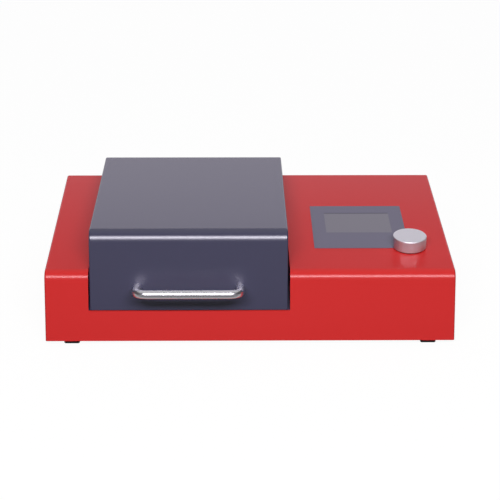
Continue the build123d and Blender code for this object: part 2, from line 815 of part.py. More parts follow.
# Screen module in the deck's window, against the panel
with BuildPart() as display_module:
    with BuildSketch(deck_plane(window_x, screen_along)):
        Rectangle(module_width, module_length)
    extrude(amount=-module_thickness)
    with BuildSketch(deck_plane(window_x, screen_along)):
        Rectangle(screen_width + 2 * module_bezel, screen_length + 2 * module_bezel)
    extrude(amount=-screen_recess, mode=Mode.SUBTRACT)
finish(display_module, "display_module")

# Control board on posts under the deck; it carries the encoder
control_post_radius = 3.0
control_post_x = 92.0
control_post_y = 60.0
processor_size = 14.0
ribbon_plug_width = 6.0
ribbon_plug_length = 46.0
ribbon_plug_x = -42.0
power_plug_width = 30.0
power_plug_length = 8.0
power_plug_place = (30.0, 36.0)
capacitor_radius = 4.0
capacitor_pitch = 12.0
capacitor_place = (24.0, -26.0)
capacitor_columns = 3
control_part_height = 6.0
with BuildPart() as control_board:
    with BuildSketch(deck_plane(window_x, panel_along, -control_board_drop)):
        RectangleRounded(control_board_width, control_board_length, 2 * board_thickness)
    extrude(amount=-board_thickness)
    # Processor, two plugs and a block of capacitors on the underside
    with BuildSketch(deck_plane(window_x, panel_along, -control_board_drop - board_thickness)):
        Rectangle(processor_size, processor_size)
        with Locations((ribbon_plug_x, 0)):
            Rectangle(ribbon_plug_width, ribbon_plug_length)
        with Locations(power_plug_place):
            Rectangle(power_plug_width, power_plug_length)
        with Locations(capacitor_place):
            with GridLocations(capacitor_pitch, capacitor_pitch, capacitor_columns, 2):
                Circle(capacitor_radius)
    extrude(amount=-control_part_height)
finish(control_board, "control_board")

with BuildPart() as control_posts:
    with BuildSketch(deck_plane(window_x, screen_along, -sheet)):
        with GridLocations(control_post_x, control_post_y, 2, 2):
            RegularPolygon(control_post_radius, 6)
    extrude(amount=-(control_board_drop - sheet))
finish(control_posts, "control_board_posts")

# Encoder: a cased body with a threaded bush, its nut, a push cup and the shaft
encoder_top = -sheet
encoder_bottom = -control_board_drop
cup_radius = encoder_size / 2 - 2 * encoder_wall
shaft_bottom = encoder_bottom + encoder_wall + push_travel + cup_thickness + running_clearance
collar_height = 1.0
knob_bore_top = knob_gap + knob_height - knob_cap
with BuildPart() as encoder_body:
    with BuildSketch(deck_plane(knob_x, knob_along, encoder_bottom)):
        RectangleRounded(encoder_size, encoder_size, encoder_wall)
    extrude(amount=encoder_top - encoder_bottom)
    with BuildSketch(deck_plane(knob_x, knob_along, encoder_top)):
        Circle(encoder_bush_radius)
    extrude(amount=encoder_bush_height - encoder_top)
    with BuildSketch(deck_plane(knob_x, knob_along, encoder_bottom + encoder_wall)):
        Circle(cup_radius + slip_clearance)
    extrude(amount=encoder_top - encoder_bottom - 2 * encoder_wall, mode=Mode.SUBTRACT)
    with BuildSketch(deck_plane(knob_x, knob_along, encoder_bush_height)):
        Circle(encoder_shaft_radius + running_clearance)
    extrude(amount=encoder_top - encoder_bush_height - 2 * encoder_wall, mode=Mode.SUBTRACT)
finish(encoder_body, "encoder_body")

with BuildPart() as encoder_nut:
    with BuildSketch(deck_plane(knob_x, knob_along)):
        RegularPolygon(encoder_nut_across / 2, 6, major_radius=False)
        Circle(encoder_bush_radius, mode=Mode.SUBTRACT)
    extrude(amount=encoder_nut_height)
finish(encoder_nut, "encoder_nut")

with BuildPart() as encoder_cup:
    with BuildSketch(deck_plane(knob_x, knob_along, shaft_bottom - running_clearance)):
        Circle(cup_radius)
    extrude(amount=-cup_thickness)
finish(encoder_cup, "encoder_cup")

with BuildPart() as encoder_shaft:
    with BuildSketch(deck_plane(knob_x, knob_along, shaft_bottom)):
        Circle(encoder_shaft_radius)
    extrude(amount=knob_bore_top - shaft_bottom - slip_clearance)
    with BuildSketch(deck_plane(knob_x, knob_along, shaft_bottom)):
        Circle(cup_radius - slip_clearance)
    extrude(amount=collar_height)
finish(encoder_shaft, "encoder_shaft")

# Knob: straight-knurled aluminium with a chamfered top, hollow over the nut
knurl_start = 1.2
knurl_end = knob_height - knob_chamfer - knurl_start
nut_room_radius = 8.5
nut_room_height = encoder_bush_height + slip_clearance + push_travel - knob_gap
with BuildPart() as knob:
    with BuildSketch(deck_plane(knob_x, knob_along, knob_gap)):
        Circle(knob_radius)
    extrude(amount=knob_height)
    chamfer(knob.edges().filter_by(GeomType.CIRCLE).sort_by(Axis.Z)[-1], knob_chamfer)
    with BuildSketch(deck_plane(knob_x, knob_along, knob_gap)):
        Circle(nut_room_radius)
    extrude(amount=nut_room_height, mode=Mode.SUBTRACT)
    with BuildSketch(deck_plane(knob_x, knob_along, knob_gap)):
        Circle(encoder_shaft_radius)
    extrude(amount=knob_bore_top - knob_gap, mode=Mode.SUBTRACT)
    with BuildSketch(deck_plane(knob_x, knob_along, knob_gap + knurl_start)):
        with PolarLocations(knob_radius, knob_grooves):
            Rectangle(2 * groove_depth, 2 * groove_depth, rotation=45)
    extrude(amount=knurl_end - knurl_start, mode=Mode.SUBTRACT)
finish(knob, "knob")

# Power entry: a flanged case with a plug recess, a fuse drawer and a rocker
plug_width = 24.6
plug_height = 17.0
plug_depth = 16.0
plug_chamfer = 5.0
plug_below = 15.0  # plug recess centre below the entry's middle
rocker_above = 18.0
rocker_slot_width = 20.0
rocker_slot_height = 13.0
rocker_slot_depth = 10.0
rocker_gap = 0.3
rocker_end_gap = 0.6
rocker_proud = 0.6
rocker_dip = 1.2
rocker_draft = 1.8
rocker_pivot = 1.0  # out from the rear face
rocker_tilt = 9.0
trunnion_radius = 1.0
trunnion_length = 1.4
fuse_above = 4.0
fuse_width = 22.0
fuse_height = 7.0
fuse_depth = 12.0
fuse_grip = 1.5
entry_screw_spacing = 40.0
with BuildPart() as power_entry:
    with BuildSketch(rear_plane(entry_x, entry_z)):
        RectangleRounded(entry_width, entry_height, entry_corner)
    extrude(amount=entry_flange)
    chamfer(power_entry.faces().sort_by(Axis.Y)[-1].edges(), entry_flange / 4)
    with BuildSketch(rear_plane(entry_x, entry_z)):
        Rectangle(entry_cut_width - 2 * slip_clearance, entry_cut_height - 2 * slip_clearance)
    extrude(amount=-entry_depth)
    with BuildSketch(rear_plane(entry_x, entry_z - plug_below, entry_flange)) as plug_recess:
        Rectangle(plug_width, plug_height)
        chamfer(plug_recess.vertices().group_by(Axis.Y)[-1], plug_chamfer)
    extrude(amount=-plug_depth, mode=Mode.SUBTRACT)
    with BuildSketch(rear_plane(entry_x, entry_z + fuse_above, entry_flange)):
        Rectangle(fuse_width, fuse_height)
    extrude(amount=-fuse_depth, mode=Mode.SUBTRACT)
    with BuildSketch(rear_plane(entry_x, entry_z + rocker_above, entry_flange)):
        Rectangle(rocker_slot_width, rocker_slot_height)
    extrude(amount=-rocker_slot_depth, mode=Mode.SUBTRACT)
    with Locations((entry_x, rear_y + rocker_pivot, entry_z + rocker_above)):
        Cylinder(
            trunnion_radius + running_clearance, rocker_slot_width + 2 * trunnion_length,
            rotation=(0, 90, 0), mode=Mode.SUBTRACT,
        )
finish(power_entry, "power_entry")

contact_spacing = 14.0
contact_offset = 2.0  # live pair below, earth above the recess's middle
contact_width = 2.0
contact_height = 4.0
with BuildPart() as inlet_pins:
    with BuildSketch(rear_plane(entry_x, entry_z - plug_below, entry_flange - plug_depth)):
        with Locations((0, -contact_offset)):
            with GridLocations(contact_spacing, 1, 2, 1):
                Rectangle(contact_width, contact_height)
        with Locations((0, contact_offset)):
            Rectangle(contact_width, contact_height)
    extrude(amount=plug_depth - contact_width)
    chamfer(inlet_pins.faces().group_by(Axis.Y)[-1].edges(), contact_width / 4)
finish(inlet_pins, "inlet_pins")

with BuildPart() as fuse_drawer:
    with BuildSketch(rear_plane(entry_x, entry_z + fuse_above, entry_flange - fuse_depth)):
        Rectangle(fuse_width - slip_clearance, fuse_height - slip_clearance)
    extrude(amount=fuse_depth)
    with BuildSketch(rear_plane(entry_x, entry_z + fuse_above, entry_flange)):
        with Locations((0, fuse_height / 4)):
            Rectangle(fuse_width / 3, fuse_height / 4)
    extrude(amount=-fuse_grip, mode=Mode.SUBTRACT)
finish(fuse_drawer, "fuse_drawer")

# Rocker: a wedge that see-saws on two trunnions, here with its upper half pressed in
rocker_face = entry_flange - rocker_pivot + rocker_proud
rocker_half = rocker_slot_height / 2 - rocker_end_gap
rocker_back = rocker_slot_depth - entry_flange + rocker_pivot - rocker_draft
rocker_width = rocker_slot_width - 2 * rocker_gap
with BuildPart() as power_rocker:
    with BuildSketch(Plane.YZ.offset(entry_x - rocker_width / 2)):
        with Locations(Location((rear_y + rocker_pivot, entry_z + rocker_above), rocker_tilt)):
            Polygon(
                (rocker_face, rocker_half), (rocker_face - rocker_dip, 0), (rocker_face, -rocker_half),
                (-rocker_back, -rocker_half + rocker_draft), (-rocker_back, rocker_half - rocker_draft),
                align=None,
            )
    extrude(amount=rocker_width)
    with Locations((entry_x, rear_y + rocker_pivot, entry_z + rocker_above)):
        Cylinder(trunnion_radius, rocker_width + 2 * trunnion_length, rotation=(0, 90, 0))
finish(power_rocker, "power_rocker")

# Cooling fan behind the rear panel, with its wire guard outside
fan_strut = 3.0
fan_struts = 3
fan_base_depth = 3.0
fan_shaft_radius = 1.5
fan_tip_clearance = 1.2
fan_screw_hole = handle_screw / 2 + slip_clearance
fan_screw_head = 3.6
with BuildPart() as fan_frame:
    with BuildSketch(rear_plane(fan_x, fan_z, -sheet)):
        RectangleRounded(fan_size, fan_size, 3 * sheet)
        Circle(fan_bore / 2, mode=Mode.SUBTRACT)
        with GridLocations(fan_hole_spacing, fan_hole_spacing, 2, 2):
            Circle(fan_screw_hole, mode=Mode.SUBTRACT)
    extrude(amount=-fan_depth)
    with BuildSketch(rear_plane(fan_x, fan_z, -sheet - fan_depth)):
        with Locations((0, 0)):
            with PolarLocations(fan_bore / 4, fan_struts, start_angle=90):
                Rectangle(fan_bore / 2 + 1, fan_strut)
        Circle(fan_hub_radius)
        Circle(fan_shaft_radius + running_clearance, mode=Mode.SUBTRACT)
    extrude(amount=fan_base_depth)
finish(fan_frame, "fan_frame")

blade_tip = fan_bore / 2 - fan_tip_clearance
blade_thickness = 1.2
blade_pitches = (48.0, 56.0, 64.0)  # degrees at root, middle and tip
rotor_back = -sheet - fan_depth + fan_base_depth + free_clearance
rotor_front_gap = 1.0
hub_edge = 1.5
rotor_depth = fan_depth - fan_base_depth - 2 * free_clearance - rotor_front_gap


def blade_section(turn, radius, chord, pitch):
    """A blade's curved-tip outline square to its radius, pitched to the airflow."""
    heading = (-sin(turn), 0, cos(turn))
    centre = (fan_x + heading[0] * radius, rear_y + rotor_back + rotor_depth / 2, fan_z + heading[2] * radius)
    with BuildSketch(Plane(origin=centre, x_dir=(0, 1, 0), z_dir=heading)) as outline:
        Rectangle(chord, blade_thickness, rotation=pitch)
    return outline.sketch


with BuildPart() as fan_rotor:
    with BuildSketch(rear_plane(fan_x, fan_z, rotor_back)):
        Circle(fan_hub_radius)
    extrude(amount=rotor_depth)
    fillet(fan_rotor.edges().filter_by(GeomType.CIRCLE).sort_by(Axis.Y)[-1], hub_edge)
    with BuildSketch(rear_plane(fan_x, fan_z, rotor_back)):
        Circle(fan_shaft_radius)
    extrude(amount=-fan_base_depth)
    for number in range(fan_blades):
        turn = radians(360 / fan_blades * number)
        stations = (fan_hub_radius - blade_thickness, (fan_hub_radius + blade_tip) / 2, blade_tip)
        loft(sections=[
            blade_section(turn, radius, rotor_depth, pitch) for radius, pitch in zip(stations, blade_pitches)
        ])
finish(fan_rotor, "fan_rotor")

# Wire guard: two flat bars on the panel carry four round rings
guard_wire = 0.9
guard_rings = 4
guard_ear = 2 * guard_wire
guard_lift = 2.34  # rings a little sunk in the bars
guard_reach = fan_hole_spacing * 2 ** 0.5 - 2 * fan_screw_hole
with BuildPart() as fan_guard:
    with BuildSketch(rear_plane(fan_x, fan_z)):
        for turn in (45, 135):
            Rectangle(guard_reach, 2 * guard_wire, rotation=turn)
        with GridLocations(fan_hole_spacing, fan_hole_spacing, 2, 2):
            Circle(handle_screw)
            Circle(fan_screw_hole, mode=Mode.SUBTRACT)
    extrude(amount=guard_ear)
    for number in range(1, guard_rings + 1):
        with Locations(rear_plane(fan_x, fan_z, guard_lift)):
            Torus(fan_hole_radius / guard_rings * number, guard_wire)
finish(fan_guard, "fan_guard")

with BuildPart() as fan_screws:
    with BuildSketch(rear_plane(fan_x, fan_z, guard_ear)):
        with GridLocations(fan_hole_spacing, fan_hole_spacing, 2, 2):
            Circle(fan_screw_head)
    extrude(amount=screw_head_height, taper=screw_head_taper)
    with BuildSketch(rear_plane(fan_x, fan_z, guard_ear)):
        with GridLocations(fan_hole_spacing, fan_hole_spacing, 2, 2):
            Circle(handle_screw / 2)
    extrude(amount=-guard_ear - sheet - fan_depth)
finish(fan_screws, "fan_screws")

# Power supply in a caged case on the base plate, with its terminal strip at the front
supply_from_right = 13.5  # body's side to the case
supply_y = 42.0
supply_width = 97.0
supply_length = 129.0
supply_height = 30.0
supply_x = half_width - supply_from_right - supply_width / 2
terminal_depth = 12.0
terminal_height = 14.0
terminal_count = 7
terminal_share = 0.35  # of the pitch that a terminal's radius takes
cage_hole = 3.0
cage_pitch = 9.0
cage_columns = 8
cage_rows = 9
with BuildPart() as power_supply:
    with Locations((supply_x, supply_y, base_top)):
        Box(supply_width, supply_length, supply_height, align=(Align.CENTER, Align.CENTER, Align.MIN))
    with Locations((supply_x, supply_y - supply_length / 2, base_top + terminal_height)):
        Box(
            supply_width - 2 * terminal_depth, terminal_depth, supply_height,
            align=(Align.CENTER, Align.MIN, Align.MIN), mode=Mode.SUBTRACT,
        )
    with BuildSketch(Plane.XY.offset(base_top + supply_height)):
        with Locations((supply_x, supply_y + terminal_depth)):
            with GridLocations(cage_pitch, cage_pitch, cage_columns, cage_rows):
                RegularPolygon(cage_hole, 6)
    extrude(amount=-sheet, mode=Mode.SUBTRACT)
finish(power_supply, "power_supply")

with BuildPart() as supply_terminals:
    terminal_pitch = (supply_width - 2 * terminal_depth) / (terminal_count + 1)
    with BuildSketch(Plane.XY.offset(base_top + terminal_height)):
        with Locations((supply_x, supply_y - supply_length / 2 + terminal_depth / 2)):
            with GridLocations(terminal_pitch, 1, terminal_count, 1):
                Circle(terminal_pitch * terminal_share)
    extrude(amount=2 * screw_head_height)
finish(supply_terminals, "supply_terminals")

# Lamp driver board on spacers, between the chamber and the power supply
driver_margin = 8.0
driver_room = supply_x - supply_width / 2 - chamber_right - mirror_sheet
driver_width = driver_room - 2 * driver_margin
driver_x = chamber_right + mirror_sheet + driver_room / 2
driver_y = 20.0
driver_length = 120.0
spacer_height = 8.0
spacer_inset = 4.0
choke_radius = driver_width * 0.16
choke_bore = choke_radius * 0.4
choke_pitch = 32.0
choke_count = 3
driver_capacitor_pitch = driver_width * 0.6
driver_plug_width = driver_width / 2
driver_plug_length = 8.0
driver_plug_spacing = 104.0
driver_part_height = 9.0
with BuildPart() as driver_spacers:
    with BuildSketch(Plane.XY.offset(base_top)):
        with Locations((driver_x, driver_y)):
            with GridLocations(driver_width - 2 * spacer_inset, driver_length - 2 * spacer_inset, 2, 2):
                RegularPolygon(control_post_radius, 6)
    extrude(amount=spacer_height)
finish(driver_spacers, "driver_board_spacers")

with BuildPart() as driver_board:
    with BuildSketch(Plane.XY.offset(base_top + spacer_height)):
        with Locations((driver_x, driver_y)):
            RectangleRounded(driver_width, driver_length, 2 * board_thickness)
    extrude(amount=board_thickness)
    # Chokes, capacitors and two screw connectors
    with BuildSketch(Plane.XY.offset(base_top + spacer_height + board_thickness)):
        with Locations((driver_x, driver_y)):
            with GridLocations(1, choke_pitch, 1, choke_count):
                Circle(choke_radius)
                Circle(choke_bore, mode=Mode.SUBTRACT)
            with GridLocations(driver_capacitor_pitch, driver_capacitor_pitch, 2, 2):
                Circle(capacitor_radius)
            with GridLocations(1, driver_plug_spacing, 1, 2):
                Rectangle(driver_plug_width, driver_plug_length)
    extrude(amount=driver_part_height)
finish(driver_board, "driver_board")

# Gas line: bulkhead fitting, valve, two hoses and a nozzle through the tub's side
fitting_hex = 14.0
fitting_barrel = 6.5
fitting_collar = 7.0
collar_length = 2.0
fitting_inside = 10.0
nut_thickness = 4.0
with BuildPart() as gas_fitting:
    with BuildSketch(rear_plane(gas_x, gas_z)):
        RegularPolygon(fitting_hex / 2, 6, major_radius=False)
    extrude(amount=nut_thickness)
    with BuildSketch(rear_plane(gas_x, gas_z, nut_thickness)):
        Circle(fitting_barrel)
    extrude(amount=rear_reach - nut_thickness - collar_length)
    with BuildSketch(rear_plane(gas_x, gas_z, rear_reach - collar_length)):
        Circle(fitting_collar)
    extrude(amount=collar_length)
    with BuildSketch(rear_plane(gas_x, gas_z)):
        Circle(gas_shank_radius)
    extrude(amount=-sheet - fitting_inside)
    with BuildSketch(rear_plane(gas_x, gas_z, -sheet)):
        RegularPolygon(fitting_hex / 2, 6, major_radius=False)
    extrude(amount=-nut_thickness)
    with BuildSketch(rear_plane(gas_x, gas_z, rear_reach)):
        Circle(gas_tube_radius)
    extrude(amount=-gas_tube_depth, mode=Mode.SUBTRACT)
    with BuildSketch(rear_plane(gas_x, gas_z, rear_reach)):
        Circle(hose_bore)
    extrude(amount=-rear_reach - sheet - fitting_inside, mode=Mode.SUBTRACT)
finish(gas_fitting, "gas_fitting")

valve_setback = 50.0
valve_y = rear_y - valve_setback
valve_width = 22.0
valve_length = 30.0
valve_block = 18.0
coil_size = 24.0
coil_height = 26.0
coil_neck = 3.0
valve_post_spacing = 20.0
valve_front = valve_y - valve_length / 2
valve_rear = valve_y + valve_length / 2
with BuildPart() as gas_valve:
    with Locations((gas_x, valve_y, gas_z)):
        Box(valve_width, valve_length, valve_block)
    with Locations((gas_x, valve_y, gas_z + valve_block / 2)):
        Cylinder(coil_size / 4, coil_neck, align=(Align.CENTER, Align.CENTER, Align.MIN))
    with BuildSketch(Plane.XY.offset(gas_z + valve_block / 2 + coil_neck)):
        with Locations((gas_x, valve_y)):
            RectangleRounded(coil_size, coil_size, coil_neck)
    extrude(amount=coil_height)
    with BuildSketch(Plane.XY.offset(base_top)):
        with Locations((gas_x, valve_y)):
            with GridLocations(1, valve_post_spacing, 1, 2):
                RegularPolygon(sink_post_radius, 6)
    extrude(amount=gas_z - valve_block / 2 - base_top)
    with BuildSketch(Plane.XZ.offset(-valve_rear)):
        with Locations((gas_x, gas_z)):
            Circle(hose_bore)
    extrude(amount=valve_length, mode=Mode.SUBTRACT)
finish(gas_valve, "gas_valve")

with BuildPart() as inlet_hose:
    with BuildSketch(Plane.XZ.offset(-valve_rear)):
        with Locations((gas_x, gas_z)):
            Circle(hose_radius)
            Circle(hose_bore, mode=Mode.SUBTRACT)
    extrude(amount=-(rear_y - sheet - fitting_inside - valve_rear))
finish(inlet_hose, "inlet_hose")

nozzle_back = 10.0  # nozzle's outer end from the chamber's side
nozzle_flange = 2.0
nozzle_end = chamber_left - nozzle_back
with BuildPart() as chamber_hose:
    with BuildLine() as hose_line:
        FilletPolyline(
            (gas_x, valve_front, gas_z), (gas_x, nozzle_y, gas_z), (nozzle_end, nozzle_y, gas_z),
            radius=hose_bend,
        )
    with BuildSketch(Plane.XZ.offset(-valve_front)):
        with Locations((gas_x, gas_z)):
            Circle(hose_radius)
            Circle(hose_bore, mode=Mode.SUBTRACT)
    sweep(path=hose_line.wires()[0])
finish(chamber_hose, "chamber_hose")

nozzle_tip = 3.0
with BuildPart() as gas_nozzle:
    with BuildSketch(Plane.YZ.offset(nozzle_end)):
        with Locations((nozzle_y, nozzle_z)):
            Circle(nozzle_radius)
    extrude(amount=chamber_left + nozzle_tip - nozzle_end)
    with BuildSketch(Plane.YZ.offset(chamber_left - mirror_sheet)):
        with Locations((nozzle_y, nozzle_z)):
            Circle(2 * nozzle_radius)
    extrude(amount=-nozzle_flange)
    with BuildSketch(Plane.YZ.offset(nozzle_end)):
        with Locations((nozzle_y, nozzle_z)):
            Circle(hose_bore)
    extrude(amount=chamber_left + nozzle_tip - nozzle_end, mode=Mode.SUBTRACT)
finish(gas_nozzle, "gas_nozzle")

# Lid switch under the pan, with a pin that the lid's liner holds down
switch_width = 20.0
switch_length = 10.0
switch_height = 14.0
pin_sunk = 8.0
pin_overtravel = 1.0
pan_underside = pan_top - sheet
with BuildPart() as lid_switch:
    with BuildSketch(mouth_plane(switch_x, switch_y, pan_underside)):
        Rectangle(switch_width, switch_length)
    extrude(amount=-switch_height)
    with BuildSketch(mouth_plane(switch_x, switch_y, pan_underside)):
        Circle(pin_radius + running_clearance)
    extrude(amount=-pin_sunk - pin_overtravel, mode=Mode.SUBTRACT)
finish(lid_switch, "lid_switch")

with BuildPart() as lid_switch_pin:
    with BuildSketch(mouth_plane(switch_x, switch_y, pan_underside - pin_sunk)):
        Circle(pin_radius)
    extrude(amount=seal_top - pan_underside + pin_sunk)
    fillet(lid_switch_pin.edges().filter_by(GeomType.CIRCLE).sort_by(Axis.Z)[-1], pin_radius / 2)
finish(lid_switch_pin, "lid_switch_pin")

# Screws that hold the rear panel to the hood's lips
with BuildPart() as rear_screws:
    with BuildSketch(Plane.XZ.offset(-rear_y)):
        with Locations(*rear_screw_places):
            Circle(2 * hinge_screw_radius)
    extrude(amount=-screw_head_height, taper=screw_head_taper)
    with BuildSketch(Plane.XZ.offset(-rear_y)):
        with Locations(*rear_screw_places):
            Circle(hinge_screw_radius)
    extrude(amount=2 * sheet + nut_height)
finish(rear_screws, "rear_screws")

print("overall depth", rear_y + rear_reach - (toe_y + handle_front), "pin line", hinge_y, hinge_z)
print("mouth angle in degrees", degrees(mouth))
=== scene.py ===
"""Looks of a bench-top UV post-curing unit: the studio, the knurled knob and the finishes of its parts.

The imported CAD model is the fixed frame. The knob is a surface reckoned with numpy in metres, in the same
frame, and every finish is a tree of nodes that reads Object coordinates.
"""

import functools
import math

import bpy
import numpy as np
from mathutils import Matrix, Vector


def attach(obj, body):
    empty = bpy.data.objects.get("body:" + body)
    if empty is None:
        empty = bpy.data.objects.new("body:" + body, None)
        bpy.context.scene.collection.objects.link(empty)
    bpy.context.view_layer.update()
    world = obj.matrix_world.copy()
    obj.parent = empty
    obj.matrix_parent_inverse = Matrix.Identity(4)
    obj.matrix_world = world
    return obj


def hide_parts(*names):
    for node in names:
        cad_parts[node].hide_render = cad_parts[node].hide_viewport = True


bl_info = {
    "name": "UV post-curing unit",
    "version": (1, 0, 0),
    "blender": (4, 5, 0),
    "location": "3D View > Sidebar > Curing unit",
    "description": "Studio, knurled knob and finishes of a bench-top post-curing unit",
    "category": "Object",
}

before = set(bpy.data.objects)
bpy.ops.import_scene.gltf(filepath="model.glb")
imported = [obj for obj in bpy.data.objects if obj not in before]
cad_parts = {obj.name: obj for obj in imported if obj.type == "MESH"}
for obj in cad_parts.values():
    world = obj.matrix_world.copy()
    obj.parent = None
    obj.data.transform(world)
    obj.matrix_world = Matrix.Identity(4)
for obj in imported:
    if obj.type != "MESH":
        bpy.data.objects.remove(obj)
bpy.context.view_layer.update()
MM = 0.001


# ---------------------------------------------------------------- shader arithmetic


class Signal:
    """One output of a finish's nodes, to reckon with. Each operator adds the Math node that does it."""

    def __init__(self, finish, socket):
        self.finish = finish
        self.socket = socket

    def math(self, operation, *values):
        return self.finish.node("ShaderNodeMath", {"operation": operation}, dict(enumerate(values)))

    def __add__(self, other):
        return self.math("ADD", self, other)

    def __radd__(self, other):
        return self.math("ADD", other, self)

    def __sub__(self, other):
        return self.math("SUBTRACT", self, other)

    def __rsub__(self, other):
        return self.math("SUBTRACT", other, self)

    def __mul__(self, other):
        return self.math("MULTIPLY", self, other)

    def __rmul__(self, other):
        return self.math("MULTIPLY", other, self)

    def __truediv__(self, other):
        return self.math("DIVIDE", self, other)

    def __rtruediv__(self, other):
        return self.math("DIVIDE", other, self)

    def __pow__(self, other):
        return self.math("POWER", self, other)

    def __abs__(self):
        return self.math("ABSOLUTE", self)

    def fraction(self):
        return self.math("FRACT", self)

    def most(self, other):
        return self.math("MAXIMUM", self, other)

    def ease(self, low, high):
        """0 below low, 1 above high and a smooth step between them."""
        return self.finish.node(
            "ShaderNodeMapRange",
            {"interpolation_type": "SMOOTHSTEP"},
            {"Value": self, "From Min": low, "From Max": high},
        )


class Finish:
    """One material, or the world, grown node by node."""

    def __init__(self, name, kind="materials"):
        self.owner = getattr(bpy.data, kind).new(name)
        self.owner.use_nodes = True
        self.tree = self.owner.node_tree
        self.tree.nodes.clear()

    @functools.cached_property
    def place(self):
        """Object coordinates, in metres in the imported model's frame."""
        return self.node("ShaderNodeTexCoord", output="Object")

    def node(self, kind, settings=None, inputs=None, output=0):
        """Adds a node: its settings, then its sockets' values or links. Gives one output as a Signal."""
        made = self.tree.nodes.new(kind)
        for key, value in (settings or {}).items():
            if key == "stops":
                ramp = made.color_ramp.elements
                while len(ramp) < len(value):
                    ramp.new(0.5)
                for element, (position, colour) in zip(ramp, value):
                    element.position = position
                    element.color = (*colour, 1.0)
            else:
                setattr(made, key, value)
        for key, value in (inputs or {}).items():
            if isinstance(value, Signal):
                self.tree.links.new(value.socket, made.inputs[key])
            else:
                made.inputs[key].default_value = value
        return Signal(self, made.outputs[output]) if made.outputs else made

    def axes(self):
        """The three Object coordinates, each as a Signal in metres."""
        parts = self.node("ShaderNodeSeparateXYZ", inputs={0: self.place})
        node = parts.socket.node
        return [Signal(self, node.outputs[i]) for i in range(3)]

    def stretched(self, x, y, z, turn=(0.0, 0.0, 0.0)):
        """Object coordinates scaled by x, y and z after a turn in radians."""
        return self.node(
            "ShaderNodeMapping", inputs={"Vector": self.place, "Rotation": turn, "Scale": (x, y, z)}
        )

    def grain(self, size, detail=2.0, at=None):
        """Soft noise from 0 to 1 whose blots are about size metres across."""
        inputs = {"Vector": at or self.place, "Scale": 0.5 / size, "Detail": detail}
        return self.node("ShaderNodeTexNoise", inputs=inputs)

    def cells(self, size, output="Distance"):
        """Distance to the nearest of scattered points about size metres apart, or that point's own colour."""
        inputs = {"Vector": self.place, "Scale": 1.0 / size}
        return self.node("ShaderNodeTexVoronoi", {"feature": "F1"}, inputs, output)

    def blend(self, share, first, second):
        """Colour first where share is 0 and second where it is 1."""
        inputs = {0: share, 6: opaque(first), 7: opaque(second)}
        return self.node("ShaderNodeMix", {"data_type": "RGBA"}, inputs, 2)

    def tinted(self, colour, amount, share):
        """colour, darker or lighter by up to amount as share goes from 0 to 1."""
        return self.blend(share, shaded(colour, 1 - amount), shaded(colour, 1 + amount))

    def surface(self, colour, rough, relief=None, depth=0.0, **plain):
        """Ends the tree in one Principled shader. relief, from 0 to 1, raises the surface by depth metres."""
        inputs = {"Base Color": opaque(colour), "Roughness": rough}
        if relief is not None:
            inputs["Normal"] = self.node(
                "ShaderNodeBump", inputs={"Strength": 1.0, "Distance": depth, "Height": relief}
            )
        for key, value in plain.items():
            inputs[key.replace("_", " ")] = value
        return self.end(self.node("ShaderNodeBsdfPrincipled", inputs=inputs))

    def end(self, shader, output="ShaderNodeOutputMaterial"):
        """Joins the last shader to the tree's output and gives the material or world."""
        self.node(output, inputs={"Surface": shader})
        return self.owner

    def rays(self, *kinds):
        """1 for rays of each of these kinds and 0 for all others, each as a Signal."""
        node = self.node("ShaderNodeLightPath").socket.node
        return [Signal(self, node.outputs[f"Is {kind} Ray"]) for kind in kinds]


def opaque(colour):
    """A colour as four numbers, or the Signal as it is."""
    return colour if isinstance(colour, Signal) else (*colour[:3], 1.0)


def grey(level):
    """A grey of one level."""
    return (level, level, level)


def shaded(colour, factor):
    """colour times factor, and 1 at most."""
    return tuple(min(1.0, c * factor) for c in colour[:3])


# ---------------------------------------------------------------- surfaces


def turned_mesh(name, points, finish, first_pole, last_pole):
    """A mesh with sharp facets from a grid of points: rows along the profile, columns round the axis.

    Each face joins point (i, j) to (i + 1, j), (i + 1, j + 1) and (i, j + 1), and the last column to the
    first. It is split in two between its points whose row and column add up to an even number. A pole is one
    more point that the first or last row fans out to.
    """
    rows, columns = points.shape[:2]
    i = np.arange(rows - 1)[:, None]
    j = np.arange(columns)[None, :]
    m = (j + 1) % columns
    quads = np.stack(
        [i * columns + j, (i + 1) * columns + j, (i + 1) * columns + m, i * columns + m], -1
    ).reshape(-1, 4)
    even = ((i + j) % 2 == 0).ravel()[:, None]
    halves = np.where(even, quads[:, (0, 1, 2)], quads[:, (0, 1, 3)])
    others = np.where(even, quads[:, (0, 2, 3)], quads[:, (1, 2, 3)])
    first_tip = np.full(columns, rows * columns)
    last_row = (rows - 1) * columns
    first_fan = np.stack([first_tip, j.ravel(), m.ravel()], -1)
    last_fan = np.stack([first_tip + 1, last_row + m.ravel(), last_row + j.ravel()], -1)
    vertices = np.vstack([points.reshape(-1, 3), first_pole, last_pole])
    faces = np.vstack([halves, others, first_fan, last_fan])
    mesh = bpy.data.meshes.new(name)
    mesh.from_pydata(vertices.tolist(), [], faces.tolist())
    mesh.validate()
    mesh.materials.append(finish)
    made = bpy.data.objects.new(name, mesh)
    bpy.context.scene.collection.objects.link(made)
    return made


def turned_grid(radius, height, centre, axis, across):
    """A turned surface: a grid of radii, rows along the profile's heights and columns round the axis.

    A point is centre + height * axis + radius * (cos(angle) * across + sin(angle) * along), where along is
    axis x across.
    """
    angle = np.linspace(0, 2 * math.pi, radius.shape[1], endpoint=False)
    along = np.cross(axis, across)
    ring = np.cos(angle)[:, None] * across + np.sin(angle)[:, None] * along
    return centre + height[:, None, None] * axis + radius[:, :, None] * ring[None, :, :]


# ---------------------------------------------------------------- sizes and colours of the panel


def colour_property(name, description, default):
    return bpy.props.FloatVectorProperty(
        name=name, description=description, default=default, size=3, min=0.0, max=1.0, subtype="COLOR"
    )


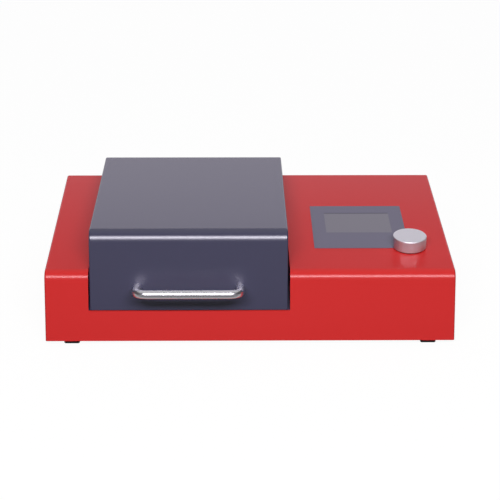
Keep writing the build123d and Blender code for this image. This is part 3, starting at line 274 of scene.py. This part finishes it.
def length_property(name, description, default):
    return bpy.props.FloatProperty(
        name=name, description=description, default=default, min=0.0, subtype="DISTANCE", unit="LENGTH"
    )


def angle_property(name, description, default):
    return bpy.props.FloatProperty(name=name, description=description, default=default, subtype="ANGLE")


class CuringColours(bpy.types.PropertyGroup):
    """Colours of the finishes, as linear red, green and blue."""

    red_coat: colour_property("Red coat", "Powder coat of the housing", (0.63, 0.028, 0.028))
    grey_coat: colour_property("Grey coat", "Powder coat of the lid", (0.041, 0.0388, 0.084))
    zinc: colour_property("Zinc", "Zinc-plated steel of plates and screws", (0.58, 0.59, 0.60))
    stainless: colour_property("Stainless", "Brushed stainless steel", (0.60, 0.60, 0.61))
    mirror: colour_property("Mirror", "Rolled reflector sheet", (0.50, 0.51, 0.53))
    aluminium: colour_property("Aluminium", "Satin aluminium", (0.81, 0.79, 0.84))
    chrome: colour_property("Chrome", "Polished plating of the handle", (0.83, 0.82, 0.86))
    nickel: colour_property("Nickel", "Nickel-plated brass fittings", (0.66, 0.62, 0.54))
    film: colour_property("Panel film", "Printed film round the screen", (0.135, 0.125, 0.19))
    hose: colour_property("Hose", "Extruded gas hose", (0.06, 0.14, 0.42))
    silicone: colour_property("Silicone", "Seal round the chamber mouth", (0.60, 0.58, 0.55))
    white_board: colour_property("White board", "White solder resist", (0.80, 0.80, 0.78))
    green_board: colour_property("Green board", "Green solder resist", (0.015, 0.14, 0.065))
    dome: colour_property("Lamp dome", "Clear dome of a lamp over its chip", (0.80, 0.74, 0.40))


class CuringSizes(bpy.types.PropertyGroup):
    """Sizes of the new pieces and of the studio."""

    knurl_pitch: length_property("Knurl pitch", "Distance between the knob's diamond points", 2.1 * MM)
    knurl_depth: length_property("Knurl depth", "Depth of the knob's diamond cuts", 0.3 * MM)
    peel_size: length_property("Peel size", "Width of the powder coat's orange peel", 1.1 * MM)
    lamp_width: length_property("Lamp width", "Width of the strip lamp", 1.7)
    lamp_height: length_property("Lamp height", "Height of the strip lamp", 0.30)
    lamp_distance: length_property("Lamp distance", "From the object to the strip lamp", 2.2)
    lamp_rise: angle_property("Lamp rise", "Elevation of the strip lamp", math.radians(36))
    sheen_rise: angle_property("Sheen rise", "Elevation of the panel for highlights", math.radians(43))


# ---------------------------------------------------------------- finishes


def powder_coat(name, colour, peel, roughness, shine):
    """Baked powder: a satin skin with fine orange peel, and a slow drift of gloss and tone."""
    f = Finish(name)
    skin = f.grain(peel, 3.0) * 0.7 + f.grain(peel * 3.3, 1.0) * 0.3
    drift = f.grain(0.09, 2.0)
    specks = f.cells(0.0016).ease(0.06, 0.16)
    tone = f.tinted(colour, 0.03, drift * 0.6 + skin * 0.4)
    rough = roughness + drift * 0.02 + skin * 0.01
    coat = f.blend(specks, shaded(colour, 0.95), tone)
    return f.surface(coat, rough, skin, 0.0025 * MM, Specular_IOR_Level=shine)


def zinc_plate(name, colour):
    """Zinc plating: large pale crystals, each with its own gloss, under fine rolling lines."""
    f = Finish(name)
    crystals = f.node("ShaderNodeSeparateColor", inputs={0: f.cells(0.006, "Color")})
    lines = f.grain(0.0006, 2.0, f.stretched(0.04, 1.0, 1.0))
    tone = f.tinted(colour, 0.09, crystals * 0.6 + lines * 0.4)
    return f.surface(tone, 0.30 + crystals * 0.10 + lines * 0.05, lines, 0.004 * MM, Metallic=1.0)


def brushed_steel(name, colour):
    """Stainless steel brushed from side to side: long fine lines in tone, gloss and relief."""
    f = Finish(name)
    brushing = f.stretched(0.02, 1.0, 1.0)
    fine = f.grain(0.00028, 3.0, brushing)
    wide = f.grain(0.0016, 2.0, brushing)
    smears = f.grain(0.05, 2.0)
    tone = f.tinted(colour, 0.07, fine * 0.6 + wide * 0.4)
    return f.surface(tone, 0.26 + fine * 0.10 + smears * 0.04, fine, 0.005 * MM, Metallic=1.0)


def mirror_sheet(name, colour):
    """Rolled reflector sheet: a soft mirror with rolling lines, faint waves, scratches and finger haze."""
    f = Finish(name)
    waves = f.grain(0.018, 1.0, f.stretched(0.25, 1.0, 1.0))
    lines = f.grain(0.0005, 2.0, f.stretched(0.02, 1.0, 1.0))
    hairs = f.grain(0.0002, 1.0, f.stretched(0.01, 1.0, 1.0, (0.0, 0.0, 0.7))).ease(0.66, 0.74)
    haze = f.grain(0.03, 3.0).ease(0.45, 0.75)
    tone = f.tinted(colour, 0.06, waves * 0.4 + lines * 0.6)
    rough = 0.24 + hairs * 0.12 + lines * 0.04 + haze * 0.08
    return f.surface(tone, rough, waves, 0.02 * MM, Metallic=1.0)


def satin_aluminium(name, colour):
    """Fine-blasted aluminium: an even sparkle of tiny pits."""
    f = Finish(name)
    pits = f.grain(0.00022, 3.0)
    drift = f.grain(0.02, 2.0)
    tone = f.tinted(colour, 0.05, pits * 0.7 + drift * 0.3)
    return f.surface(tone, 0.34 + pits * 0.10, pits, 0.008 * MM, Metallic=0.75)


def turned_knob(name, colour, foot, axis, height, rim):
    """The knob's aluminium: fine-blasted on top, bare over the cut side, and near black in the undercut at
    its foot, which is painted shade of the gap under the knob.

    The height over the foot is the place less the foot, measured along the knob's axis.
    """
    f = Finish(name)
    rise = sum((share * (along - start) for share, along, start in zip(axis, f.axes(), foot)), 0.0)
    blasted = rise.ease(height - rim, height - rim / 2)
    # painted shade: under 0.6 mm over the foot the knob is near black and not metal, for the shadow in the
    # gap below it
    turned = rise.ease(0.6 * MM, 0.75 * MM)
    pits = f.grain(0.00022, 3.0)
    bare = f.blend(turned, (0.02, 0.02, 0.02), f.tinted(shaded(colour, 0.95), 0.05, pits))
    tone = f.blend(blasted, bare, f.tinted(colour, 0.03, pits))
    rough = 0.30 + blasted * 0.07 + pits * 0.08
    return f.surface(tone, rough, pits, 0.006 * MM, Metallic=turned - blasted * 0.25)


def polished_plating(name, colour):
    """Plating over polished steel: bright, with a breath of haze and a few hair scratches."""
    f = Finish(name)
    haze = f.grain(0.012, 2.0)
    hairs = f.grain(0.00025, 1.0, f.stretched(1.0, 0.02, 0.02)).ease(0.68, 0.76)
    return f.surface(f.tinted(colour, 0.02, haze), 0.26 + haze * 0.03 + hairs * 0.02, Metallic=1.0)


def nickel_plate(name, colour):
    """Nickel-plated turned brass: fine turning rings and a warm tone."""
    f = Finish(name)
    rings = f.grain(0.00025, 1.0)
    drift = f.grain(0.004, 2.0)
    tone = f.tinted(colour, 0.06, rings * 0.5 + drift * 0.5)
    return f.surface(tone, 0.20 + drift * 0.12, rings, 0.004 * MM, Metallic=1.0)


def clear_pane(name):
    """Clear pane: glass with a faint green cast and a few dust grains."""
    f = Finish(name)
    dust = f.cells(0.004).ease(0.03, 0.05)
    tone = f.blend(dust, (0.80, 0.82, 0.80), (0.95, 0.985, 0.97))
    return f.surface(tone, 0.16 - dust * 0.14, IOR=1.47, Transmission_Weight=1.0)


def moulded_plastic(name, colour, roughness, depth=0.02 * MM):
    """Moulded plastic with a spark-eroded grain."""
    f = Finish(name)
    grain = f.grain(0.0005, 3.0)
    drift = f.grain(0.015, 2.0)
    tone = f.tinted(colour, 0.10, grain * 0.6 + drift * 0.4)
    return f.surface(tone, roughness + grain * 0.10 + drift * 0.05, grain, depth)


def moulded_rubber(name, colour, roughness):
    """Rubber or silicone: a dull skin with bloom and fine pores."""
    f = Finish(name)
    pores = f.cells(0.0009).ease(0.08, 0.3)
    bloom = f.grain(0.006, 3.0)
    tone = f.tinted(colour, 0.18, bloom)
    return f.surface(tone, roughness + bloom * 0.12, pores, 0.02 * MM, Specular_IOR_Level=0.25)


def solder_resist(name, colour, track, copper):
    """A circuit board's resist: tracks that run along the board and stand a hair proud, with tinned pads.

    Tracks lie one to a lane of 2.54 mm. Pads are round, in the middle of squares of twice that.
    """
    f = Finish(name)
    x, y, z = f.axes()
    lane = 2.54 * MM
    beat = f.grain(0.009, 1.0, f.stretched(1.0, 0.25, 1.0)).ease(0.48, 0.52)
    line = abs((x / lane).fraction() - 0.5).ease(0.16, 0.22) * beat
    from_middle = ((x / (2 * lane)).fraction() - 0.5) ** 2.0 + ((y / (2 * lane)).fraction() - 0.5) ** 2.0
    pads = 1 - from_middle.ease(0.012, 0.018)
    board = f.blend(line, f.tinted(colour, 0.05, f.grain(0.01)), track)
    tone = f.blend(pads, board, copper)
    rough = 0.42 - line * 0.06 - pads * 0.14
    return f.surface(tone, rough, line.most(pads), 0.03 * MM, Metallic=pads * 0.9)


def panel_film(name, colour, low, high):
    """Printed film: matt grey ink round the display's clear window, and painted shade along its far edge."""
    f = Finish(name)
    x, y, z = f.axes()
    grain = f.grain(0.0004, 2.0)
    soft = 0.3 * MM
    inside = 1.0
    for along, start, end in zip((x, y), low, high):
        half = (end - start) / 2
        inside = inside * (1 - abs(along - (start + end) / 2).ease(half - soft, half + soft))
    # painted shade: a darker band along the window's far edge stands in for the shadow of its recess
    shade = inside * y.ease(high[1] - 2.4 * MM, high[1] - 0.6 * MM)
    ink = f.tinted(colour, 0.04, grain)
    window = f.blend(grain, (0.182, 0.171, 0.212), (0.198, 0.186, 0.228))
    glass = f.blend(shade, window, shaded(colour, 0.62))
    rough = 0.36 - inside * 0.1 + grain * 0.05
    return f.surface(f.blend(inside, ink, glass), rough, grain * (1 - inside), 0.004 * MM)


def lamp_lens(name, colour):
    """Clear dome of a lamp: a glassy cap over a yellow chip, its tone drifting at random."""
    f = Finish(name)
    drift = f.grain(0.0012, 2.0)
    return f.surface(f.tinted(colour, 0.12, drift), 0.08 + drift * 0.05, drift, 0.01 * MM, Coat_Weight=0.6)


def make_finishes(colours, sizes):
    """Every material slot's finish, by the slot's name."""
    peel = sizes.peel_size
    black, rubber_black = (0.022, 0.022, 0.025), (0.010, 0.009, 0.010)
    white_track, white_pad = (0.72, 0.72, 0.69), (0.75, 0.74, 0.70)
    green_track, green_pad = (0.03, 0.24, 0.11), (0.72, 0.70, 0.62)
    screen_low, screen_high = (0.0828, -0.01674), (0.1534, 0.03204)
    return {
        "red_powder_coat": powder_coat("red_powder", colours.red_coat, peel, roughness=0.22, shine=0.20),
        "dark_grey_powder_coat": powder_coat(
            "grey_powder", colours.grey_coat, peel, roughness=0.25, shine=0.80
        ),
        "zinc_plated_steel": zinc_plate("zinc_plate", colours.zinc),
        "stainless_steel": brushed_steel("brushed_stainless", colours.stainless),
        "mirror_aluminium": mirror_sheet("mirror_sheet", colours.mirror),
        "aluminium": satin_aluminium("satin_aluminium", colours.aluminium),
        "chrome": polished_plating("polished_plating", colours.chrome),
        "nickel_brass": nickel_plate("nickel_plate", colours.nickel),
        "clear_glass": clear_pane("clear_pane"),
        "grey_panel_film": panel_film("panel_film", colours.film, screen_low, screen_high),
        "black_plastic": moulded_plastic("black_plastic", black, roughness=0.48),
        "black_gloss_plastic": moulded_plastic("black_gloss", black, roughness=0.16, depth=0.006 * MM),
        "hose_plastic": moulded_plastic("hose_plastic", colours.hose, roughness=0.22, depth=0.008 * MM),
        "black_rubber": moulded_rubber("black_rubber", rubber_black, roughness=0.68),
        "silicone": moulded_rubber("silicone_seal", colours.silicone, roughness=0.55),
        "white_board": solder_resist("white_resist", colours.white_board, white_track, white_pad),
        "green_board": solder_resist("green_resist", colours.green_board, green_track, green_pad),
        "lamp_dome": lamp_lens("lamp_lens", colours.dome),
    }


def slot_of(node):
    """The name of a CAD node's material slot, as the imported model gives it."""
    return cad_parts[node].data.materials[0].name.split(".")[0]


def dress(nodes):
    """Puts each node's finish in its object's material slots."""
    DRESSED.update(nodes)
    for node in nodes:
        wanted = bpy.data.materials.get(FINISHES[SLOTS[node]])
        if wanted is None:
            raise RuntimeError("make the finishes before the parts")
        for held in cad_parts[node].material_slots:
            held.link = "OBJECT"
            held.material = wanted


SLOTS = {node: slot_of(node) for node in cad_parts}
FINISHES = {}
DRESSED = set()


class CURING_OT_finishes(bpy.types.Operator):
    """Makes every finish that the unit uses"""

    bl_idname = "curing.finishes"
    bl_label = "Make finishes"

    def execute(self, context):
        scene = context.scene
        for slot, material in make_finishes(scene.curing_colours, scene.curing_sizes).items():
            FINISHES[slot] = material.name
        return {"FINISHED"}


# ---------------------------------------------------------------- knob

DECK_SLOPE = math.radians(3.978)
DECK_NORMAL = np.array([0.0, -math.sin(DECK_SLOPE), math.cos(DECK_SLOPE)])
KNOB_FOOT = np.array([168.1, -51.1, 79.91]) * MM
KNOB_RADIUS = 17.5 * MM
KNOB_HEIGHT = 13.1 * MM
KNOB_GAP = 0.6 * MM


def knurled_profile(sizes, rim, undercut, step):
    """Radii, rows up the knob and columns round it, and the height of each row over the knob's foot.

    The foot is set back by the undercut up to the step, the rim is a quarter round and the top is flat. The
    side's depth is the lesser of |sin| of two waves that climb round it left and right, a start of either
    for each pitch, so a row or column lies on every point and every groove of the diamonds between them.
    """
    starts = round(2 * math.pi * KNOB_RADIUS / sizes.knurl_pitch)
    knurled = KNOB_HEIGHT - step - rim
    bands = round(knurled / sizes.knurl_pitch)
    foot_height = np.array([0.0, step - 0.05 * MM, step])
    foot_radius = KNOB_RADIUS - undercut * np.array([1.0, 1.0, 0.5])
    rows = np.arange(2 * bands + 1)
    side = step + knurled * rows / rows[-1]
    bevel = np.linspace(0, math.pi / 2, 6)
    top = np.linspace(1, 0.06, 7)[1:]
    height = np.concatenate([
        foot_height, side, KNOB_HEIGHT - rim * (1 - np.sin(bevel)), np.full(len(top), KNOB_HEIGHT),
    ])
    radius = np.concatenate([
        foot_radius, np.full(len(side), KNOB_RADIUS), KNOB_RADIUS - rim * (1 - np.cos(bevel)),
        (KNOB_RADIUS - rim) * top,
    ])
    turn = math.pi * np.arange(2 * starts) / 2
    climb = math.pi * bands * (height[:, None] - step) / knurled
    diamonds = np.minimum(np.abs(np.sin(turn + climb)), np.abs(np.sin(turn - climb)))
    cut = np.zeros(len(height))
    cut[len(foot_height):len(foot_height) + len(side)] = sizes.knurl_depth
    return radius[:, None] - cut[:, None] * (1 - diamonds), height


class CURING_OT_knob(bpy.types.Operator):
    """Builds the knurled knob in place of its plain solid"""

    bl_idname = "curing.knob"
    bl_label = "Knurled knob"

    def execute(self, context):
        scene = context.scene
        rim = 0.9 * MM
        radius, height = knurled_profile(scene.curing_sizes, rim, undercut=0.7 * MM, step=0.7 * MM)
        foot = KNOB_FOOT + KNOB_GAP * DECK_NORMAL
        points = turned_grid(radius, height, foot, DECK_NORMAL, np.array([1.0, 0.0, 0.0]))
        colour = scene.curing_colours.aluminium
        finish = turned_knob("turned_knob", colour, foot.tolist(), DECK_NORMAL.tolist(), KNOB_HEIGHT, rim)
        knob = turned_mesh("knob_knurled", points, finish, foot, foot + KNOB_HEIGHT * DECK_NORMAL)
        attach(knob, "knob")
        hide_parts("knob")
        dress(["knob"])
        return {"FINISHED"}


# ---------------------------------------------------------------- parts that keep their CAD shape


class CURING_OT_housing(bpy.types.Operator):
    """Finishes the housing, the pan under the lid, the rear panel, the base plate and the feet"""

    bl_idname = "curing.housing"
    bl_label = "Housing"

    def execute(self, context):
        dress(["housing_hood", "well_pan", "rear_panel", "rear_screws"])
        dress(["base_plate", "foot_screws", "rubber_feet"])
        return {"FINISHED"}


class CURING_OT_lid(bpy.types.Operator):
    """Finishes the lid with its liner, handle, hinges, buffers and switch"""

    bl_idname = "curing.lid"
    bl_label = "Lid"

    def execute(self, context):
        dress(["lid_shell", "lid_liner", "handle", "handle_screws"])
        dress(["lid_buffers", "lid_switch", "lid_switch_pin", "hinge_pins"])
        dress([f"{side}_hinge_{part}" for side in ("body", "lid") for part in ("leaves", "screws")])
        return {"FINISHED"}


class CURING_OT_chamber(bpy.types.Operator):
    """Finishes the lamp chamber and the lamp modules below and above it"""

    bl_idname = "curing.chamber"
    bl_label = "Lamp chamber"

    def execute(self, context):
        dress(["reflector_tub", "mouth_seal", "work_plate"])
        module = ("window", "lamp_board", "lamps", "heat_sink", "sink_posts")
        dress([f"{side}_{part}" for side in ("lower", "upper") for part in module])
        return {"FINISHED"}


class CURING_OT_controls(bpy.types.Operator):
    """Finishes the display, its board and the encoder under the knob"""

    bl_idname = "curing.controls"
    bl_label = "Display and controls"

    def execute(self, context):
        dress(["display_panel", "display_module", "control_board", "control_board_posts"])
        dress(["encoder_body", "encoder_nut", "encoder_cup", "encoder_shaft"])
        return {"FINISHED"}


class CURING_OT_power(bpy.types.Operator):
    """Finishes the mains inlet, the supply, the lamp driver and the fan"""

    bl_idname = "curing.power"
    bl_label = "Power and cooling"

    def execute(self, context):
        dress(["power_entry", "inlet_pins", "fuse_drawer", "power_rocker"])
        dress(["power_supply", "supply_terminals", "driver_board", "driver_board_spacers"])
        dress(["fan_frame", "fan_rotor", "fan_guard", "fan_screws"])
        return {"FINISHED"}


class CURING_OT_gas(bpy.types.Operator):
    """Finishes the gas line from its fitting to the chamber's nozzle"""

    bl_idname = "curing.gas"
    bl_label = "Gas line"

    def execute(self, context):
        dress(["gas_fitting", "gas_valve", "inlet_hose", "chamber_hose", "gas_nozzle"])
        return {"FINISHED"}


# ---------------------------------------------------------------- stage


def plain_plane(name, corners, material):
    """One flat face through four corners, part of the stage."""
    mesh = bpy.data.meshes.new(name)
    mesh.from_pydata(corners, [], [(0, 1, 2, 3)])
    mesh.materials.append(material)
    made = bpy.data.objects.new(name, mesh)
    bpy.context.scene.collection.objects.link(made)


def studio_floor():
    """Pale floor: white to the camera, keeping a breath of shadow, and a plain lit floor to the object.

    In the object's reflections it is bright close to the foot, dim before it and bright again far off.
    """
    f = Finish("studio_floor")
    x, y, z = f.axes()
    close = y.ease(-0.250, -0.165)
    far_off = 1 - y.ease(-1.10, -0.60)
    reflected = 0.04 + (close * 0.30).most(far_off * 0.75)
    camera, glossy, through = f.rays("Camera", "Glossy", "Transmission")
    mottled = f.tinted(grey(0.26), 0.01, f.grain(0.3, 1.0))
    pale = f.blend(camera, f.blend(glossy, mottled, grey(0.12)), grey(0.85))
    lit = f.node("ShaderNodeBsdfDiffuse", inputs={"Color": pale})
    glow = f.node("ShaderNodeEmission", inputs={"Color": opaque(grey(1.0)), "Strength": 1.02})
    share = (camera * 0.93).most(glossy * reflected).most(through * 0.86)
    return f.end(f.node("ShaderNodeMixShader", inputs={0: share, 1: lit, 2: glow}))


def studio_wall(height):
    """Wall behind the object, which its flat tops mirror: whitest over half its height, dim above that.

    Each level is a height as a share of the wall's and the share of white there.
    """
    f = Finish("studio_wall")
    x, y, z = f.axes()
    white = np.array([0.943, 0.896, 1.0])
    levels = ((0.0, 0.74), (0.40, 0.76), (0.575, 1.0), (0.635, 0.13), (0.95, 0.08))
    stops = [(place, tuple(white * level)) for place, level in levels]
    tone = f.node("ShaderNodeValToRGB", {"stops": stops}, {"Fac": z / height})
    return f.end(f.node("ShaderNodeEmission", inputs={"Color": tone, "Strength": 1.40}))


def studio_world(dim):
    """World: white to the camera, and dim fill to the object."""
    f = Finish("studio_world", "worlds")
    camera, = f.rays("Camera")
    sky = f.node("ShaderNodeBackground", inputs={"Color": f.blend(camera, grey(dim), grey(1.0))})
    return f.end(sky, "ShaderNodeOutputWorld")


def area_lamp(name, place, target, width, height, power, colour=grey(1.0), shines=True, lights=True):
    """A rectangle lamp at place that faces target. It may be kept out of highlights or of diffuse light."""
    light = bpy.data.lights.new(name, "AREA")
    light.shape = "RECTANGLE"
    light.size = width
    light.size_y = height
    light.energy = power
    light.color = colour
    lamp = bpy.data.objects.new(name, light)
    bpy.context.scene.collection.objects.link(lamp)
    lamp.location = place
    lamp.rotation_euler = (Vector(target) - Vector(place)).to_track_quat("-Z", "Y").to_euler()
    lamp.visible_camera = False
    lamp.visible_glossy = shines
    lamp.visible_diffuse = lights


CAMERA_PLACE = (-0.02048, -1.48489, 0.67449)
CAMERA_TURN = (22.624, -0.831, 0.203)
CAMERA_LENS = 106.2
CAMERA_SENSOR = 36.0


def set_camera():
    """The photograph's camera: place in metres, pitch, yaw and roll in degrees, lens and sensor in mm."""
    pitch, yaw, roll = (math.radians(angle) for angle in CAMERA_TURN)
    forward = Vector((-math.sin(yaw) * math.cos(pitch), math.cos(yaw) * math.cos(pitch), -math.sin(pitch)))
    right = Vector((math.cos(yaw), math.sin(yaw), 0.0))
    up = right.cross(forward)
    right, up = (
        math.cos(roll) * right + math.sin(roll) * up,
        -math.sin(roll) * right + math.cos(roll) * up,
    )
    data = bpy.data.cameras.new("camera")
    data.lens = CAMERA_LENS
    data.sensor_width = CAMERA_SENSOR
    camera = bpy.data.objects.new("camera", data)
    bpy.context.scene.collection.objects.link(camera)
    turn = Matrix((right, up, -forward)).transposed().to_4x4()
    camera.matrix_world = Matrix.Translation(CAMERA_PLACE) @ turn
    bpy.context.scene.camera = camera


class CURING_OT_stage(bpy.types.Operator):
    """Makes the camera, floor, wall, lamps and world"""

    bl_idname = "curing.stage"
    bl_label = "Studio"

    def execute(self, context):
        scene = context.scene
        sizes = scene.curing_sizes
        scene.view_settings.view_transform = "Standard"
        set_camera()
        far, drop = 9.0, -0.0002
        corners = [(-far, -far, drop), (far, -far, drop), (far, far, drop), (-far, far, drop)]
        plain_plane("floor", corners, studio_floor())
        side, back, top = 2.2, 2.4, 2.15
        corners = [(-side, back, 0), (side, back, 0), (side, back, top), (-side, back, top)]
        plain_plane("wall", corners, studio_wall(top))
        scene.world = studio_world(dim=0.05)
        centre = Vector((0.0, -0.02, 0.06))
        place, high = (
            centre + Vector((0.0, -math.cos(rise), math.sin(rise))) * sizes.lamp_distance
            for rise in (sizes.lamp_rise, sizes.sheen_rise)
        )
        sheen = (0.955, 0.92, 1.0)
        area_lamp("strip_lamp", place, centre, sizes.lamp_width, sizes.lamp_height, power=45.0, shines=False)
        area_lamp("sheen_panel", high, centre, width=2.0, height=0.7, power=38.0, colour=sheen, lights=False)
        area_lamp("sheen_core", place, centre, width=2.0, height=0.4, power=56.0, colour=sheen, lights=False)
        area_lamp("top_lamp", (0.0, 0.75, 1.55), (0.0, 0.7, 0.0), width=3.2, height=2.2, power=11.5)
        return {"FINISHED"}


class CURING_PT_panel(bpy.types.Panel):
    """Lists the steps in the 3D view's sidebar"""

    bl_idname = "CURING_PT_panel"
    bl_label = "Curing unit"
    bl_space_type = "VIEW_3D"
    bl_region_type = "UI"
    bl_category = "Curing unit"

    def draw(self, context):
        for step in STEPS:
            self.layout.operator(step.bl_idname)
        for group in (context.scene.curing_colours, context.scene.curing_sizes):
            for key in group.bl_rna.properties.keys():
                if key not in ("rna_type", "name"):
                    self.layout.prop(group, key)


STEPS = (
    CURING_OT_finishes, CURING_OT_housing, CURING_OT_lid, CURING_OT_chamber, CURING_OT_controls,
    CURING_OT_power, CURING_OT_gas, CURING_OT_knob, CURING_OT_stage,
)
CLASSES = (CuringColours, CuringSizes, *STEPS, CURING_PT_panel)


def register():
    for kind in CLASSES:
        bpy.utils.register_class(kind)
    bpy.types.Scene.curing_colours = bpy.props.PointerProperty(type=CuringColours)
    bpy.types.Scene.curing_sizes = bpy.props.PointerProperty(type=CuringSizes)


def unregister():
    del bpy.types.Scene.curing_colours
    del bpy.types.Scene.curing_sizes
    for kind in reversed(CLASSES):
        bpy.utils.unregister_class(kind)


def main():
    """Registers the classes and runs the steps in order."""
    register()
    for step in STEPS:
        area, name = step.bl_idname.split(".")
        getattr(getattr(bpy.ops, area), name)()
    if DRESSED != set(SLOTS):
        raise RuntimeError(f"left bare: {sorted(set(SLOTS) - DRESSED)}")


if __name__ == "__main__":
    main()
